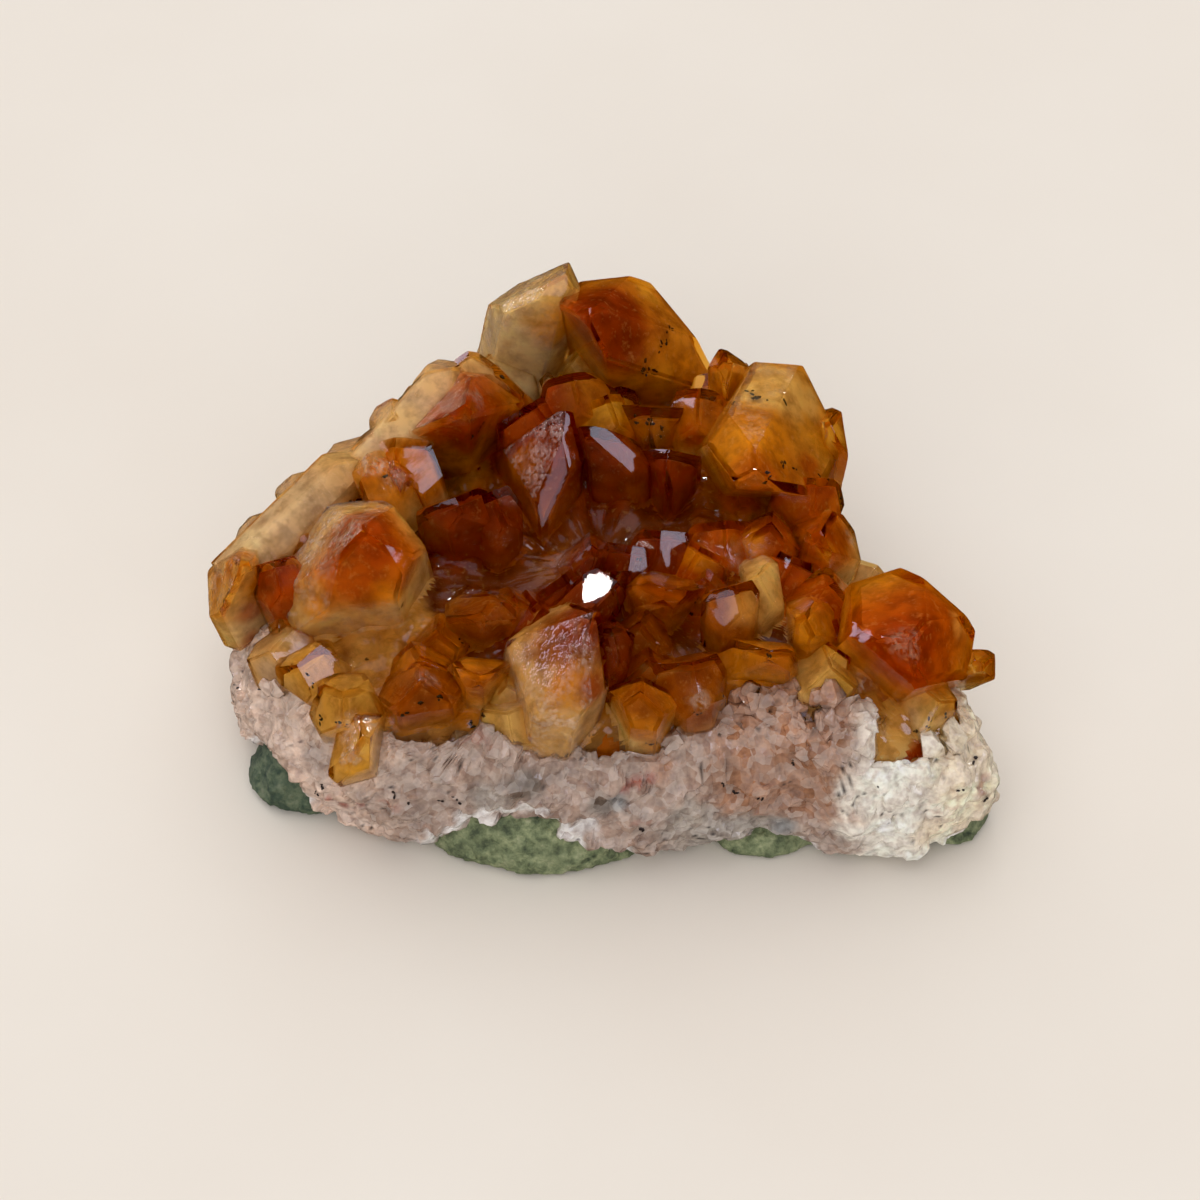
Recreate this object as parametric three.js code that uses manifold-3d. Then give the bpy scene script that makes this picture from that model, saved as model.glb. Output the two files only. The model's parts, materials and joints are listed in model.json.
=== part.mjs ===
// Citrine on matrix: a loose cluster of heat-deepened citrine crystals on milky
// quartz, with thin patches of altered green basalt under it.
// Millimetres, +Z up, resting on z = 0, +Y away from the viewer, widest along X.
import * as THREE from "three";
import { mergeVertices } from "three/addons/utils/BufferGeometryUtils.js";
import { ConvexGeometry } from "three/addons/geometries/ConvexGeometry.js";
import Module from "manifold-3d";

const wasm = await Module();
wasm.setup();

// ---- driving dimensions -------------------------------------------------
const MIDDLE = [0, 6.19]; // middle of the footprint in the frame of the tables below
const GAP = 0.4; // clearance between two pieces that touch
const RHOMB = THREE.MathUtils.degToRad(51.8); // quartz termination faces, from the c axis
const QUARTZ_TOP = 16.2; // mean height of the bed that the crystals stand on
const QUARTZ_LOW = 0.7; // lowest point of the quartz
const ROOTS = 13.2; // the crystals' roots end on this level, inside the quartz
const BED_TOP = 18.2; // the crystals have grown into one bed below this level
const BED_INSET = 5.2; // how far the bed's edge is inside the quartz outline
const RIND_TOP = 4.4; // mean thickness of the basalt rind

// Outline of the quartz layer in plan, anticlockwise from the left end.
const OUTLINE = [
  [-44.6, -7], [-43.2, -11.5], [-40.2, -16.5], [-36.6, -21.4], [-30, -25.2], [-22.5, -27.6],
  [-14.5, -28.3], [-7, -29.4], [1, -30], [8, -29.2], [15, -28.2], [22, -27.2],
  [30, -29.2], [38, -28.9], [44.6, -26.8], [47.4, -22.6], [45.6, -17], [42.2, -10],
  [36.4, -4], [32, 3], [30.6, 11], [29.4, 19], [25, 26], [17, 31],
  [8, 35.6], [-2, 37.2], [-9, 35], [-16, 30.4], [-22.5, 25.6], [-29.4, 18],
  [-36, 10], [-41.4, 3.4], [-44.8, -2],
];

// Outline of the basalt rind's thin part: it ends short of the quartz.
const RIND_INSET = 3.2;

// Corners of the flat facet that the piece rests on, anticlockwise, and how steeply the underside
// rises outside it.
const REST_FACET = [[-37, -6], [-22, -23], [40, -24], [22, 16], [-5, 30]];
const REST_RISE = 0.06;

// Places where the basalt is thicker and shows: centre, radii.
const RIND_LUMPS = [
  [[-7.5, -23.4, 0.5], [13.6, 6.9, 9.6]],
  [[-35.2, -15.2, 0.8], [7.2, 6.6, 7.2]],
  [[19.5, -23.5, 0.4], [6.5, 4.6, 3.2]],
  [[41.9, -20.6, 0.6], [4.9, 5.2, 3.6]],
  [[8, 27, 0.4], [12, 9.2, 6.2]],
  [[-26, 12, 0.4], [8, 8, 5.6]],
];

// One row for each crystal: name, tip, [lean to +X, lean to +Y, twist] in degrees,
// how far each of its 6 termination faces stands off the tip (9: no such face), how far each of its
// 6 prism faces stands off the axis through the tip, and its length to the root.
const CRYSTALS = [
  ["A", [-27.7, -7, 36], [-4.9, -14.6, 33.7], [0.1, 0.4, 0, 1.2, 0, 1.2], [6.2, 10.3, 13.7, 11.4, 5.9, 5.5], 22],
  ["L1", [-42.2, -5.6, 29], [-10.2, -10.2, 63.4], [0, 0.6, 0, 1.2, 0, 1.2], [7.7, 6.2, 5.9, 5, 1, 1], 15],
  ["B", [-15.9, 13.6, 35], [2.2, -12.2, 23.9], [0, 2.5, 0.3, 1.3, 0, 1.2], [10, 9.5, 11.3, 6.5, 1, 1], 18],
  ["B2", [-27.7, 9.6, 31], [-17.8, 13.7, 21.6], [0, 1.7, 0, 1.5, 0.4, 0.6], [3.8, 3.4, 3.5, 2.9, 3.5, 4.1], 11],
  ["B3", [-24, 7.1, 31], [-0.1, -1.5, 37.1], [0, 1.3, 0.5, 1.2, 0, 1.2], [4.7, 5, 6.8, 1, 4, 1], 13],
  ["Z1", [-34.6, 9.3, 26], [-3.7, -15, 42.2], [0.2, 0.2, 0, 1.2, 0, 1.2], [7, 4.7, 6.4, 2.4, 1, 1], 13],
  ["Z2", [-39.8, 5, 24], [-5.8, -10.5, 345.2], [0, 1.2, 0.4, 0.1, 0, 1.2], [1, 6.3, 4.5, 5.7, 3.1, 1], 12],
  ["Z3", [-30.1, 12.3, 27.5], [-2.2, -21.3, 344.7], [0, 1.2, 0, 1.5, 0, 1.2], [1, 6, 4.2, 3.4, 2, 1], 13],
  ["Z4", [-25.1, 16.6, 30], [1.3, -16.7, 34.4], [0.2, 1.4, 0, 1.2, 0, 1.2], [5.4, 3.3, 3.3, 1.7, 1, 1], 13],
  ["Z5", [-19.4, 22.1, 31], [4.8, -18.3, 26.3], [0, 0, 0, 1.2, 0, 1.2], [6.6, 5.5, 3.2, 2.6, 1, 1], 14],
  ["C", [-4.2, 33.8, 36.5], [10.4, 0.1, 19.2], [0.1, 2.7, 0.2, 0.8, 0, 1.2], [3.1, 6.8, 8.3, 6.5, 1, 1], 20],
  ["G", [-1.4, 26.2, 38], [-2, -20, 95.8], [0.4, 0.5, 0, 1.2, 0.1, 0.8], [9.1, 4.9, 1, 4.6, 13.5, 11.8], 22],
  ["H", [-3.4, 22.7, 31], [-2.7, 1.1, 102.9], [0, 1.2, 0, 1.2, 0, 0.8], [3.7, 3.9, 4.2, 4, 5, 5.1], 11],
  ["I", [6.1, 18, 29], [1.4, -6.6, 327.8], [0, 2.5, 0.6, 2.1, 0, 1.2], [2.4, 7.7, 6, 7.7, 1.8, 5], 13],
  ["J", [15.2, 24.4, 31], [-0.7, 0.8, 35.8], [0.6, 2.1, 0.6, 1.2, 0, 1.2], [5.9, 6, 2.4, 1, 3.5, 1], 13],
  ["J2", [12.2, 22, 29], [0.8, 4.4, 85.5], [0, 1.8, 0, 1.9, 0.1, 0.9], [3.5, 3.4, 4, 3.8, 3.7, 3.6], 11],
  ["K", [18.5, 4.1, 34], [8, -37.5, 31.6], [0, 1, 0, 1.2, 0, 1.7], [14, 14.7, 6.1, 2.8, 2.2, 8.8], 24],
  ["K2", [28.3, 17.2, 27], [4.7, -5.1, 5.8], [0, 2.2, 1, 1.2, 0, 1.2], [2, 7.2, 7, 1, 1, 3.4], 12],
  ["K3", [25.7, 8.2, 28], [12.5, -5.1, 95.6], [0, 1.8, 0, 1.5, 0.2, 1.5], [3.4, 3.8, 3.4, 3.7, 4.5, 4.7], 11],
  ["M1", [20.4, 1.5, 28], [3.5, -6.1, 20.3], [0, 1.8, 0, 1, 0.4, 1], [3, 2.9, 3.9, 3.3, 3.8, 3.8], 11],
  ["M2", [14.9, 2.4, 27], [-0.8, 2.5, 91.7], [0, 1.5, 0, 1.1, 0, 1.3], [4.3, 4.7, 3.8, 4.4, 4.7, 3.8], 11],
  ["D", [-17, 0.7, 33], [-4.5, -4.7, 352.9], [0, 1.5, 0, 1.5, 0, 1.2], [4.5, 4.8, 7, 5.3, 2.6, 1.7], 18],
  ["D3", [-12.7, 3.6, 31], [2.1, 3.6, 2.3], [0, 1.7, 0, 1.5, 0.3, 1.7], [3.7, 3.9, 3.4, 3.4, 3.1, 3.9], 11],
  ["D2", [-13.7, -14.4, 30], [0.7, -15.6, 3.3], [0, 0.8, 0, 1.2, 0, 1.2], [4.1, 4.2, 6.6, 4.3, 1, 1], 13],
  ["E", [-4.1, 14.4, 33], [2.3, 5.8, 83.4], [0.1, 0.5, 0, 1.2, 0, 1.2], [5.8, 10.2, 6.2, 9.9, 3.8, 1], 20],
  ["F", [-1, 12, 33], [-3.1, 4.8, 77.6], [0.1, 1.2, 0, 1.2, 0, 0.8], [5, 6.7, 1, 1, 1.7, 6.7], 18],
  ["X1", [8.1, 10.1, 30], [1.8, 2.2, 82.4], [0.7, 1.7, 0, 1.2, 0, 2.3], [4.5, 4.9, 1.2, 4.5, 2.2, 4.8], 14],
  ["X2", [7.1, -0.1, 28], [-2.5, -1.9, 83.5], [0, 0.9, 0, 0.8, 0.2, 1.7], [3.3, 3.5, 3.3, 3.6, 3.7, 3.6], 11],
  ["X3", [11.8, -1.6, 27], [0.7, -1.6, 52.6], [0, 1.6, 0, 1.6, 0.3, 1.9], [3.4, 3.8, 4.4, 4.8, 4.2, 3.7], 11],
  ["P", [-1.2, -2.4, 28], [-2, -1.3, 33.7], [0.2, 1.8, 0, 1.2, 0, 1.2], [5.2, 4.3, 5.9, 2.9, 4.4, 1], 13],
  ["P2", [1.2, -8.3, 30], [3.7, -1.4, 96], [0.1, 0.1, 0, 1.2, 0, 1.3], [4.8, 2.3, 1, 2.9, 1, 5.8], 14],
  ["Q", [7.6, -11.1, 30], [1.7, -13.4, 77.3], [0.1, 1.1, 0, 1.2, 0, 1.3], [9.3, 5.2, 3.4, 1, 1.6, 8], 15],
  ["R", [15.4, -11.2, 31], [-0.7, -1.7, 109.3], [0, 0.9, 0, 1.1, 0.5, 1.6], [3.1, 3.5, 3.3, 3, 3, 3.2], 11],
  ["Y", [10.4, -20.2, 28], [-3, -9.5, 100.9], [0, 2.1, 0, 1.5, 0.3, 2.1], [3.8, 4.7, 3.8, 4.7, 3.6, 3.9], 11],
  ["S", [19.6, -18.4, 28], [-2.8, -12.4, 82.2], [0, 2.2, 0, 1.2, 0, 0.9], [3.2, 7.4, 5.7, 1, 2.6, 3.1], 13],
  ["U", [18.5, -7.9, 29], [1.2, -9.1, 126.3], [0.1, 1.2, 0, 1.2, 0, 1.3], [7.2, 1.3, 3.5, 3.8, 3.1, 8.1], 13],
  ["V", [23.8, -14, 29], [2.7, -10.2, 4.7], [0, 1.3, 0.1, 1.2, 0, 1.2], [4.3, 6.6, 6.9, 1.2, 1.7, 2.3], 13],
  ["T", [26, -1, 29], [7.7, -6, 9], [0.1, 2.5, 0, 1.2, 0, 1.2], [6.9, 8.3, 8.9, 1, 1, 2.5], 13],
  ["T2", [27.6, -7, 27], [11.7, -5.8, 27.4], [0, 1.2, 0, 0.7, 0.4, 1.6], [4.6, 3.9, 3.9, 5.3, 5.3, 5.3], 11],
  ["W", [35.5, -21.9, 34], [8.2, -29.4, 353], [0, 1.4, 0.1, 1.2, 0, 1.2], [9.2, 9.1, 9.9, 6.3, 3, 5.1], 22],
  ["W2", [44.8, -17, 24], [25.4, -26.1, 104.8], [0, 1.2, 0, 1.2, 0.1, 1.2], [2.2, 1, 1, 1, 3.9, 3], 12],
  ["W3", [39.5, -21, 22], [16.4, -28.1, 77.8], [0, 1.9, 0, 1.6, 0.2, 1.1], [3.8, 2.9, 4, 4.2, 3.2, 2.9], 11],
  ["N", [-0.7, -17.6, 34], [7.9, -4.8, 78.9], [0, 0, 0, 1.2, 0, 1.1], [6, 7.9, 6.8, 8.4, 5.6, 1], 20],
  ["N2", [0.9, -16.8, 30], [4.8, -7.6, 109.9], [0, 0.5, 0, 1.7, 0.5, 0.6], [3.7, 3.3, 3.8, 4.1, 3.3, 3.2], 11],
  ["O1", [-20.7, -22.1, 27], [-1.6, -20.6, 38.1], [0, 0.8, 0, 1.2, 0, 1.2], [4.1, 3.3, 5.1, 4.3, 2.8, 4.2], 13],
  ["O2", [-27.4, -27, 23], [-6.3, -26.7, 45.6], [0, 1.1, 0, 1, 0, 1.2], [3.6, 3.2, 4.1, 5.9, 3.1, 1], 12],
  ["O3", [4.6, -24.4, 28], [1.1, -16.4, 26.1], [0, 1.2, 0, 1.2, 0, 1.2], [4.7, 2.5, 5, 2.3, 3.2, 3.6], 14],
  ["O4", [11.5, -23.5, 26], [0, -20.3, 9.9], [0, 1, 0, 1.2, 0, 1.2], [3.4, 2.3, 3.4, 2, 1, 1.3], 12],
  ["O5", [-13.8, -22.2, 28], [0.7, -17.8, 85], [0, 1.3, 0, 1.2, 0, 1.2], [4.3, 4.3, 1.9, 1, 1, 4.5], 13],
  ["O6", [-30, -22, 25], [-6.7, -21.5, 84.7], [0, 1, 0, 1.6, 0.4, 0.9], [3.6, 3.5, 4.7, 3.7, 4.5, 3.5], 11],
  ["O7", [-35.4, -18.2, 25], [-17.4, -25.6, 105.5], [0, 1.3, 0, 1.3, 0.3, 1.8], [2.9, 3.4, 3, 3.6, 3.8, 3.6], 11],
  ["Z6", [-16.6, 28.9, 28], [-9.2, 19.1, 103.4], [0, 0.6, 0, 1.2, 0.5, 0.9], [2.7, 3.4, 2.7, 3.3, 3.5, 3.1], 11],
  ["f1", [-19.2, -12.7, 25], [-6.1, -12.1, 26.8], [0, 9, 0, 9, 0.2, 9], [3.8, 3.3, 3.6, 4, 3.7, 3.2], 11],
  ["f2", [-7, -11.4, 27.5], [-0.4, -3.8, 49.9], [0, 9, 0, 9, 0.5, 9], [4.2, 5.3, 5.2, 5.3, 5, 4.4], 11],
  ["f4", [5.8, -17.6, 26], [2.7, -9.3, 36.1], [0, 9, 0, 9, 0.2, 9], [3.9, 3.7, 3.8, 4.3, 3.7, 3.8], 11],
  ["f6", [26.9, -18.2, 25], [6.6, -15.6, 39], [0, 9, 0, 9, 0.4, 9], [3.3, 4.4, 4, 4.5, 4, 3.8], 11],
  ["f9", [12.4, -5.4, 26], [-1.8, -4.1, 20.8], [0, 9, 0, 9, 0.4, 9], [4.3, 3.2, 3.6, 3.8, 4, 3.2], 11],
  ["f10", [22.5, -2.7, 26.5], [6.1, -5, 66.8], [0, 9, 0, 9, 0.4, 9], [4, 4.9, 5.1, 3.8, 3.8, 4.6], 11],
  ["f12", [-38.6, -4.8, 28], [-11.6, -2.3, 98.8], [0, 9, 0, 9, 0.3, 9], [2.8, 3.1, 3.4, 3.7, 2.7, 2.8], 11],
  ["f14", [-24.6, 12.1, 31], [-11, 6.8, 80.6], [0, 9, 0, 9, 0.3, 9], [3.7, 4.8, 4.2, 4.1, 4.8, 3.9], 11],
  ["f15", [-7.9, 20, 29], [-1.5, 5.3, 10.9], [0, 9, 0, 9, 0.5, 9], [5, 4.5, 4.4, 4.9, 3.8, 4.2], 11],
  ["f19", [-39, -13.8, 22], [-19.7, -26, 113.9], [0, 9, 0, 9, 0.3, 9], [4.2, 3.7, 4.2, 4, 3.7, 4.1], 11],
  ["f23", [32.8, -22.7, 20], [5.7, -20.9, 1.9], [0, 9, 0, 9, 0.3, 9], [4.5, 4.3, 4.2, 4.5, 3.7, 3.9], 11],
  ["f24", [-11, -23.2, 22.5], [-3.4, -18.7, 98.5], [0, 9, 0, 9, 0.5, 9], [3, 3.2, 2.8, 3.4, 3.8, 3.1], 11],
  ["f25", [-20.9, -17.6, 26], [-1.7, -10.2, 50.4], [0, 9, 0, 9, 0, 9], [3.8, 3.5, 3.9, 3.5, 3.8, 3.2], 11],
  ["f30", [37.9, -20.9, 19], [14.2, -24.3, 71.9], [0, 9, 0, 9, 0.5, 9], [3, 4.1, 3, 4.2, 3.3, 3.2], 11],
  ["f31", [0.6, 20.8, 29], [1.6, 9.6, 115.3], [0, 9, 0, 9, 0.4, 9], [3.5, 4.6, 4.2, 3.7, 4.2, 3.4], 11],
  ["f32", [3.6, -1.6, 27], [-3.1, -2.2, 77], [0, 9, 0, 9, 0.4, 9], [3.7, 4, 3.6, 3.7, 4.1, 3.5], 11],
  ["b2", [-1, 36, 25], [-0.7, 30.6, 54.1], [0, 9, 0, 9, 0.3, 9], [4.4, 5.8, 4.3, 5.1, 5.9, 4.4], 12],
  ["b4", [18, 30, 25], [20, 22.8, 117], [0, 9, 0, 9, 0.2, 9], [4.8, 5.3, 4.8, 5.2, 4.9, 3.8], 12],
  ["b5", [27, 24, 23], [25.8, 15.5, 107.3], [0, 9, 0, 9, 0.4, 9], [4.2, 4, 4.8, 4.4, 5.2, 3.8], 11],
  ["b6", [-22, 27, 25], [-13.4, 27.7, 11.1], [0, 9, 0, 9, 0.3, 9], [5, 4.5, 4, 5.3, 4.8, 4.1], 11],
  ["b7", [-31, 18, 23], [-22.8, 24.8, 25.2], [0, 9, 0, 9, 0.3, 9], [4.2, 3.4, 3.6, 4, 4.1, 4.6], 11],
  ["b8", [-38, 9.5, 20], [-31, 15.5, 97.4], [0, 9, 0, 9, 0.4, 9], [3.7, 3.3, 3.8, 4.2, 4.6, 3.6], 11],
  ["b9", [-45, 0.5, 19], [-32.5, 9.7, 90.3], [0, 9, 0, 9, 0.2, 9], [3.9, 3.7, 3.8, 3.1, 3.1, 3.8], 11],
  ["b12", [-16, 31, 18], [-15.2, 41.1, 16.2], [0, 9, 0, 9, 0.2, 9], [4.1, 3.9, 4.5, 3.4, 4.6, 4.3], 10],
  ["b13", [5, 35.5, 17.5], [7.5, 43.2, 83], [0, 9, 0, 9, 0.1, 9], [4.6, 4.6, 5, 4.9, 3.9, 3.5], 10],
  ["b14", [23, 28.5, 17], [24, 31.7, 43.7], [0, 9, 0, 9, 0.3, 9], [4.7, 3.6, 3.9, 4.5, 3.5, 3.8], 10],
  ["b15", [-27, 24.5, 15], [-23.1, 36, 92.3], [0, 9, 0, 9, 0, 9], [4.7, 3.9, 3.5, 3.5, 3.9, 4.5], 11],
  ["b18", [-13, 28, 27], [-1.6, 16.6, 26.1], [0, 9, 0, 9, 0.1, 9], [4, 3.8, 4.8, 5, 3.8, 4.6], 11],
  ["b1", [-14, 33.5, 23], [-15.1, 27.1, 72.1], [0, 9, 0, 9, 0.1, 9], [4.6, 5.3, 3.7, 3.9, 4, 5.1], 11],
  ["b16", [-2, 32, 25], [-0.6, 16.9, 32.6], [0, 9, 0, 9, 0.1, 9], [4.6, 5, 5, 5, 4.9, 5.6], 11],
  ["b10", [33.5, 4, 17], [27, 11, 60.5], [0, 9, 0, 9, 0.3, 9], [3.4, 4.2, 3.8, 3.1, 4.1, 3.3], 11],
  ["b11", [40, -7, 18], [26.8, 1.5, 91.8], [0, 9, 0, 9, 0.2, 9], [3.7, 3.6, 3.5, 3.5, 3.6, 4.5], 11],
  ["g1", [-9.6, -9.3, 26.5], [-2, -4.5, 54.9], [0, 1.4, 0, 0.8, 0.4, 0.6], [3.7, 4.6, 4.6, 3.5, 3.9, 4.2], 11],
  ["g2", [-4, -5.8, 27], [-2.8, 6.1, 15.6], [0, 1.3, 0, 1.1, 0.4, 2], [4.1, 3.7, 4.2, 4.5, 3.8, 4.3], 11],
  ["g3", [4.7, -13.5, 27.5], [0.3, -7, 16.3], [0, 1.8, 0, 1.5, 0.1, 1], [3.5, 3.9, 3.3, 3.7, 3.2, 3.5], 11],
];

// ---- helpers ------------------------------------------------------------
function hash(ix, iy, iz) {
  let h = (ix * 374761393 + iy * 668265263 + iz * 2147483647) | 0;
  h = Math.imul(h ^ (h >>> 13), 1274126177);
  h ^= h >>> 16;
  return ((h >>> 0) % 65536) / 65535;
}
// Smooth value noise, -1 to 1.
function noise(x, y, z) {
  const xi = Math.floor(x), yi = Math.floor(y), zi = Math.floor(z);
  const s = (t) => t * t * (3 - 2 * t);
  const u = s(x - xi), v = s(y - yi), w = s(z - zi);
  let r = 0;
  for (let i = 0; i < 2; i++)
    for (let j = 0; j < 2; j++)
      for (let k = 0; k < 2; k++)
        r += (i ? u : 1 - u) * (j ? v : 1 - v) * (k ? w : 1 - w) * hash(xi + i, yi + j, zi + k);
  return 2 * r - 1;
}

// A closed three.js geometry as a manifold-3d solid.
function solid(geometry) {
  const g = geometry.clone();
  g.deleteAttribute("normal");
  g.deleteAttribute("uv");
  const m = mergeVertices(g, 1e-4);
  const made = new wasm.Manifold(
    new wasm.Mesh({
      numProp: 3,
      vertProperties: new Float32Array(m.attributes.position.array),
      triVerts: new Uint32Array(m.index.array),
    }),
  );
  return made;
}
function geometryOf(s) {
  const m = s.getMesh();
  const g = new THREE.BufferGeometry();
  const v = new Float32Array(m.numVert * 3);
  for (let i = 0; i < m.numVert; i++)
    v.set(m.vertProperties.subarray(i * m.numProp, i * m.numProp + 3), i * 3);
  g.setAttribute("position", new THREE.BufferAttribute(v, 3));
  g.setIndex(new THREE.BufferAttribute(new Uint32Array(m.triVerts), 1));
  g.computeVertexNormals();
  return g;
}

// Collapses edges shorter than SLIVER, so that the cuts leave no needle faces.
const SLIVER = 0.42;
function tidy(s) {
  const m = s.getMesh();
  const np = m.numProp;
  const P = [];
  for (let i = 0; i < m.numVert; i++)
    P.push(new THREE.Vector3(m.vertProperties[i * np], m.vertProperties[i * np + 1], m.vertProperties[i * np + 2]));
  const parent = P.map((_, i) => i);
  if (m.mergeFromVert) m.mergeFromVert.forEach((f, i) => (parent[f] = m.mergeToVert[i]));
  const find = (i) => (parent[i] === i ? i : (parent[i] = find(parent[i])));
  const F = [];
  const at = P.map(() => new Set());
  for (let i = 0; i < m.triVerts.length; i += 3) {
    const f = [find(m.triVerts[i]), find(m.triVerts[i + 1]), find(m.triVerts[i + 2])];
    const id = F.push(f) - 1;
    f.forEach((v) => at[v].add(id));
  }
  const around = (v) => {
    const out = new Set();
    at[v].forEach((f) => F[f].forEach((w) => w !== v && out.add(w)));
    return out;
  };
  const n1 = new THREE.Vector3(), n2 = new THREE.Vector3(), e1 = new THREE.Vector3(), e2 = new THREE.Vector3();
  const normal = (a, b, c, out) => out.crossVectors(e1.subVectors(b, a), e2.subVectors(c, a));
  const collapse = (u, v) => {
    // v moves onto u
    const nu = around(u), nv = around(v);
    let common = 0;
    nu.forEach((w) => nv.has(w) && common++);
    if (common !== 2) return false;
    for (const f of at[v]) {
      if (F[f].includes(u)) continue;
      const [a, b, c] = F[f];
      normal(P[a], P[b], P[c], n1);
      const q = F[f].map((w) => (w === v ? P[u] : P[w]));
      normal(q[0], q[1], q[2], n2);
      const l1 = n1.length(), l2 = n2.length();
      if (l2 < 1e-3 || (l1 > 5e-3 && n1.dot(n2) < 0.86 * l1 * l2) || n1.dot(n2) <= 0) return false;
    }
    for (const f of [...at[v]]) {
      if (F[f].includes(u)) {
        F[f].forEach((w) => at[w].delete(f));
        F[f] = null;
      } else {
        F[f] = F[f].map((w) => (w === v ? u : w));
        at[u].add(f);
        at[v].delete(f);
      }
    }
    return true;
  };
  for (let pass = 0; pass < 6; pass++) {
    const edges = [];
    F.forEach((f) => {
      if (f) for (let k = 0; k < 3; k++) {
        const a = f[k], b = f[(k + 1) % 3];
        if (a < b) {
          const l = P[a].distanceTo(P[b]);
          if (l < SLIVER) edges.push([l, a, b]);
        }
      }
    });
    edges.sort((x, y) => x[0] - y[0] || x[1] - y[1]);
    let done = 0;
    for (const [, a, b] of edges) {
      if (!at[a].size || !at[b].size || !around(a).has(b)) continue;
      if (collapse(a, b) || collapse(b, a)) done++;
    }
    if (!done) break;
  }
  const keep = F.filter(Boolean);
  const index = new Map();
  const vert = [];
  const tri = [];
  keep.forEach((f) => f.forEach((v) => {
    if (!index.has(v)) {
      index.set(v, index.size);
      vert.push(P[v].x, P[v].y, P[v].z);
    }
    tri.push(index.get(v));
  }));
  return new wasm.Manifold(new wasm.Mesh({
    numProp: 3, vertProperties: new Float32Array(vert), triVerts: new Uint32Array(tri),
  }));
}

// ---- crystals -----------------------------------------------------------
// The convex solid bounded by planes n.x <= d about a point.
function convex(planes, at) {
  const pts = [];
  const n = planes.length;
  const c1 = new THREE.Vector3(), c2 = new THREE.Vector3(), c3 = new THREE.Vector3();
  for (let i = 0; i < n; i++)
    for (let j = i + 1; j < n; j++)
      for (let k = j + 1; k < n; k++) {
        const a = planes[i], b = planes[j], c = planes[k];
        c1.crossVectors(b.n, c.n);
        const det = a.n.dot(c1);
        if (Math.abs(det) < 1e-4) continue;
        c2.crossVectors(c.n, a.n);
        c3.crossVectors(a.n, b.n);
        const p = new THREE.Vector3()
          .addScaledVector(c1, a.d)
          .addScaledVector(c2, b.d)
          .addScaledVector(c3, c.d)
          .multiplyScalar(1 / det);
        if (planes.some((q) => q.n.dot(p) > q.d + 1e-5)) continue;
        p.add(at);
        if (!pts.some((q) => q.distanceToSquared(p) < 4e-4)) pts.push(p);
      }
  return new ConvexGeometry(pts);
}

function crystal([, tip, [leanX, leanY, twist], rhomb, prism, length], grow = 0) {
  const rad = THREE.MathUtils.degToRad;
  const z = new THREE.Vector3(Math.tan(rad(leanX)), Math.tan(rad(leanY)), 1).normalize();
  const x = new THREE.Vector3(0, 1, 0).cross(z).normalize();
  const y = z.clone().cross(x);
  const planes = [];
  for (let k = 0; k < 6; k++) {
    const a = rad(60 * k + twist);
    const side = x.clone().multiplyScalar(Math.cos(a)).addScaledVector(y, Math.sin(a));
    if (rhomb[k] < 9) planes.push({
      n: side.clone().multiplyScalar(Math.sin(RHOMB)).addScaledVector(z, Math.cos(RHOMB)),
      d: rhomb[k] + grow,
    });
    planes.push({ n: side, d: prism[k] + grow });
  }
  planes.push({ n: z.clone().negate(), d: length + grow });
  return solid(convex(planes, new THREE.Vector3(...tip)));
}


// ---- quartz matrix ------------------------------------------------------
const SEGMENTS = 54;
const outlineCurve = new THREE.CatmullRomCurve3(
  OUTLINE.map(([x, y]) => new THREE.Vector3(x, y, 0)), true, "centripetal");
const outline = outlineCurve.getSpacedPoints(SEGMENTS).slice(0, SEGMENTS);
const CENTRE = new THREE.Vector3(0, 0, 0);

// A lumpy closed solid from rings: [scale about the centre, inset, z, roughness].
function rings(levels, seed) {
  const pos = [];
  const ringPoint = (level, i) => {
    const [scale, inset, z, rough] = level;
    const p = outline[i].clone();
    const len = p.length();
    p.multiplyScalar(scale * (len - inset) / len);
    const q = noise(p.x * 0.21 + seed, p.y * 0.21, z * 0.26 + seed) + 0.5 * noise(p.x * 0.55, p.y * 0.55 + seed, z * 0.6);
    p.multiplyScalar(1 + (rough * q) / Math.max(len, 1));
    const dz = rough * 0.8 * noise(p.x * 0.3, p.y * 0.3 + seed, seed + z * 0.1);
    return new THREE.Vector3(p.x, p.y, z + (z <= 0 ? 0 : dz));
  };
  const rows = levels.map((l) => outline.map((_, i) => ringPoint(l, i)));
  const tri = (a, b, c) => pos.push(a.x, a.y, a.z, b.x, b.y, b.z, c.x, c.y, c.z);
  const bottom = new THREE.Vector3(0, 0, levels[0][2]);
  const top = new THREE.Vector3(0, 0, levels[levels.length - 1][2]);
  for (let i = 0; i < SEGMENTS; i++) {
    const j = (i + 1) % SEGMENTS;
    tri(bottom, rows[0][j], rows[0][i]);
    for (let r = 0; r + 1 < rows.length; r++) {
      tri(rows[r][i], rows[r][j], rows[r + 1][j]);
      tri(rows[r][i], rows[r + 1][j], rows[r + 1][i]);
    }
    tri(top, rows[rows.length - 1][i], rows[rows.length - 1][j]);
  }
  return new THREE.BufferGeometry().setAttribute("position", new THREE.Float32BufferAttribute(pos, 3));
}

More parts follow.
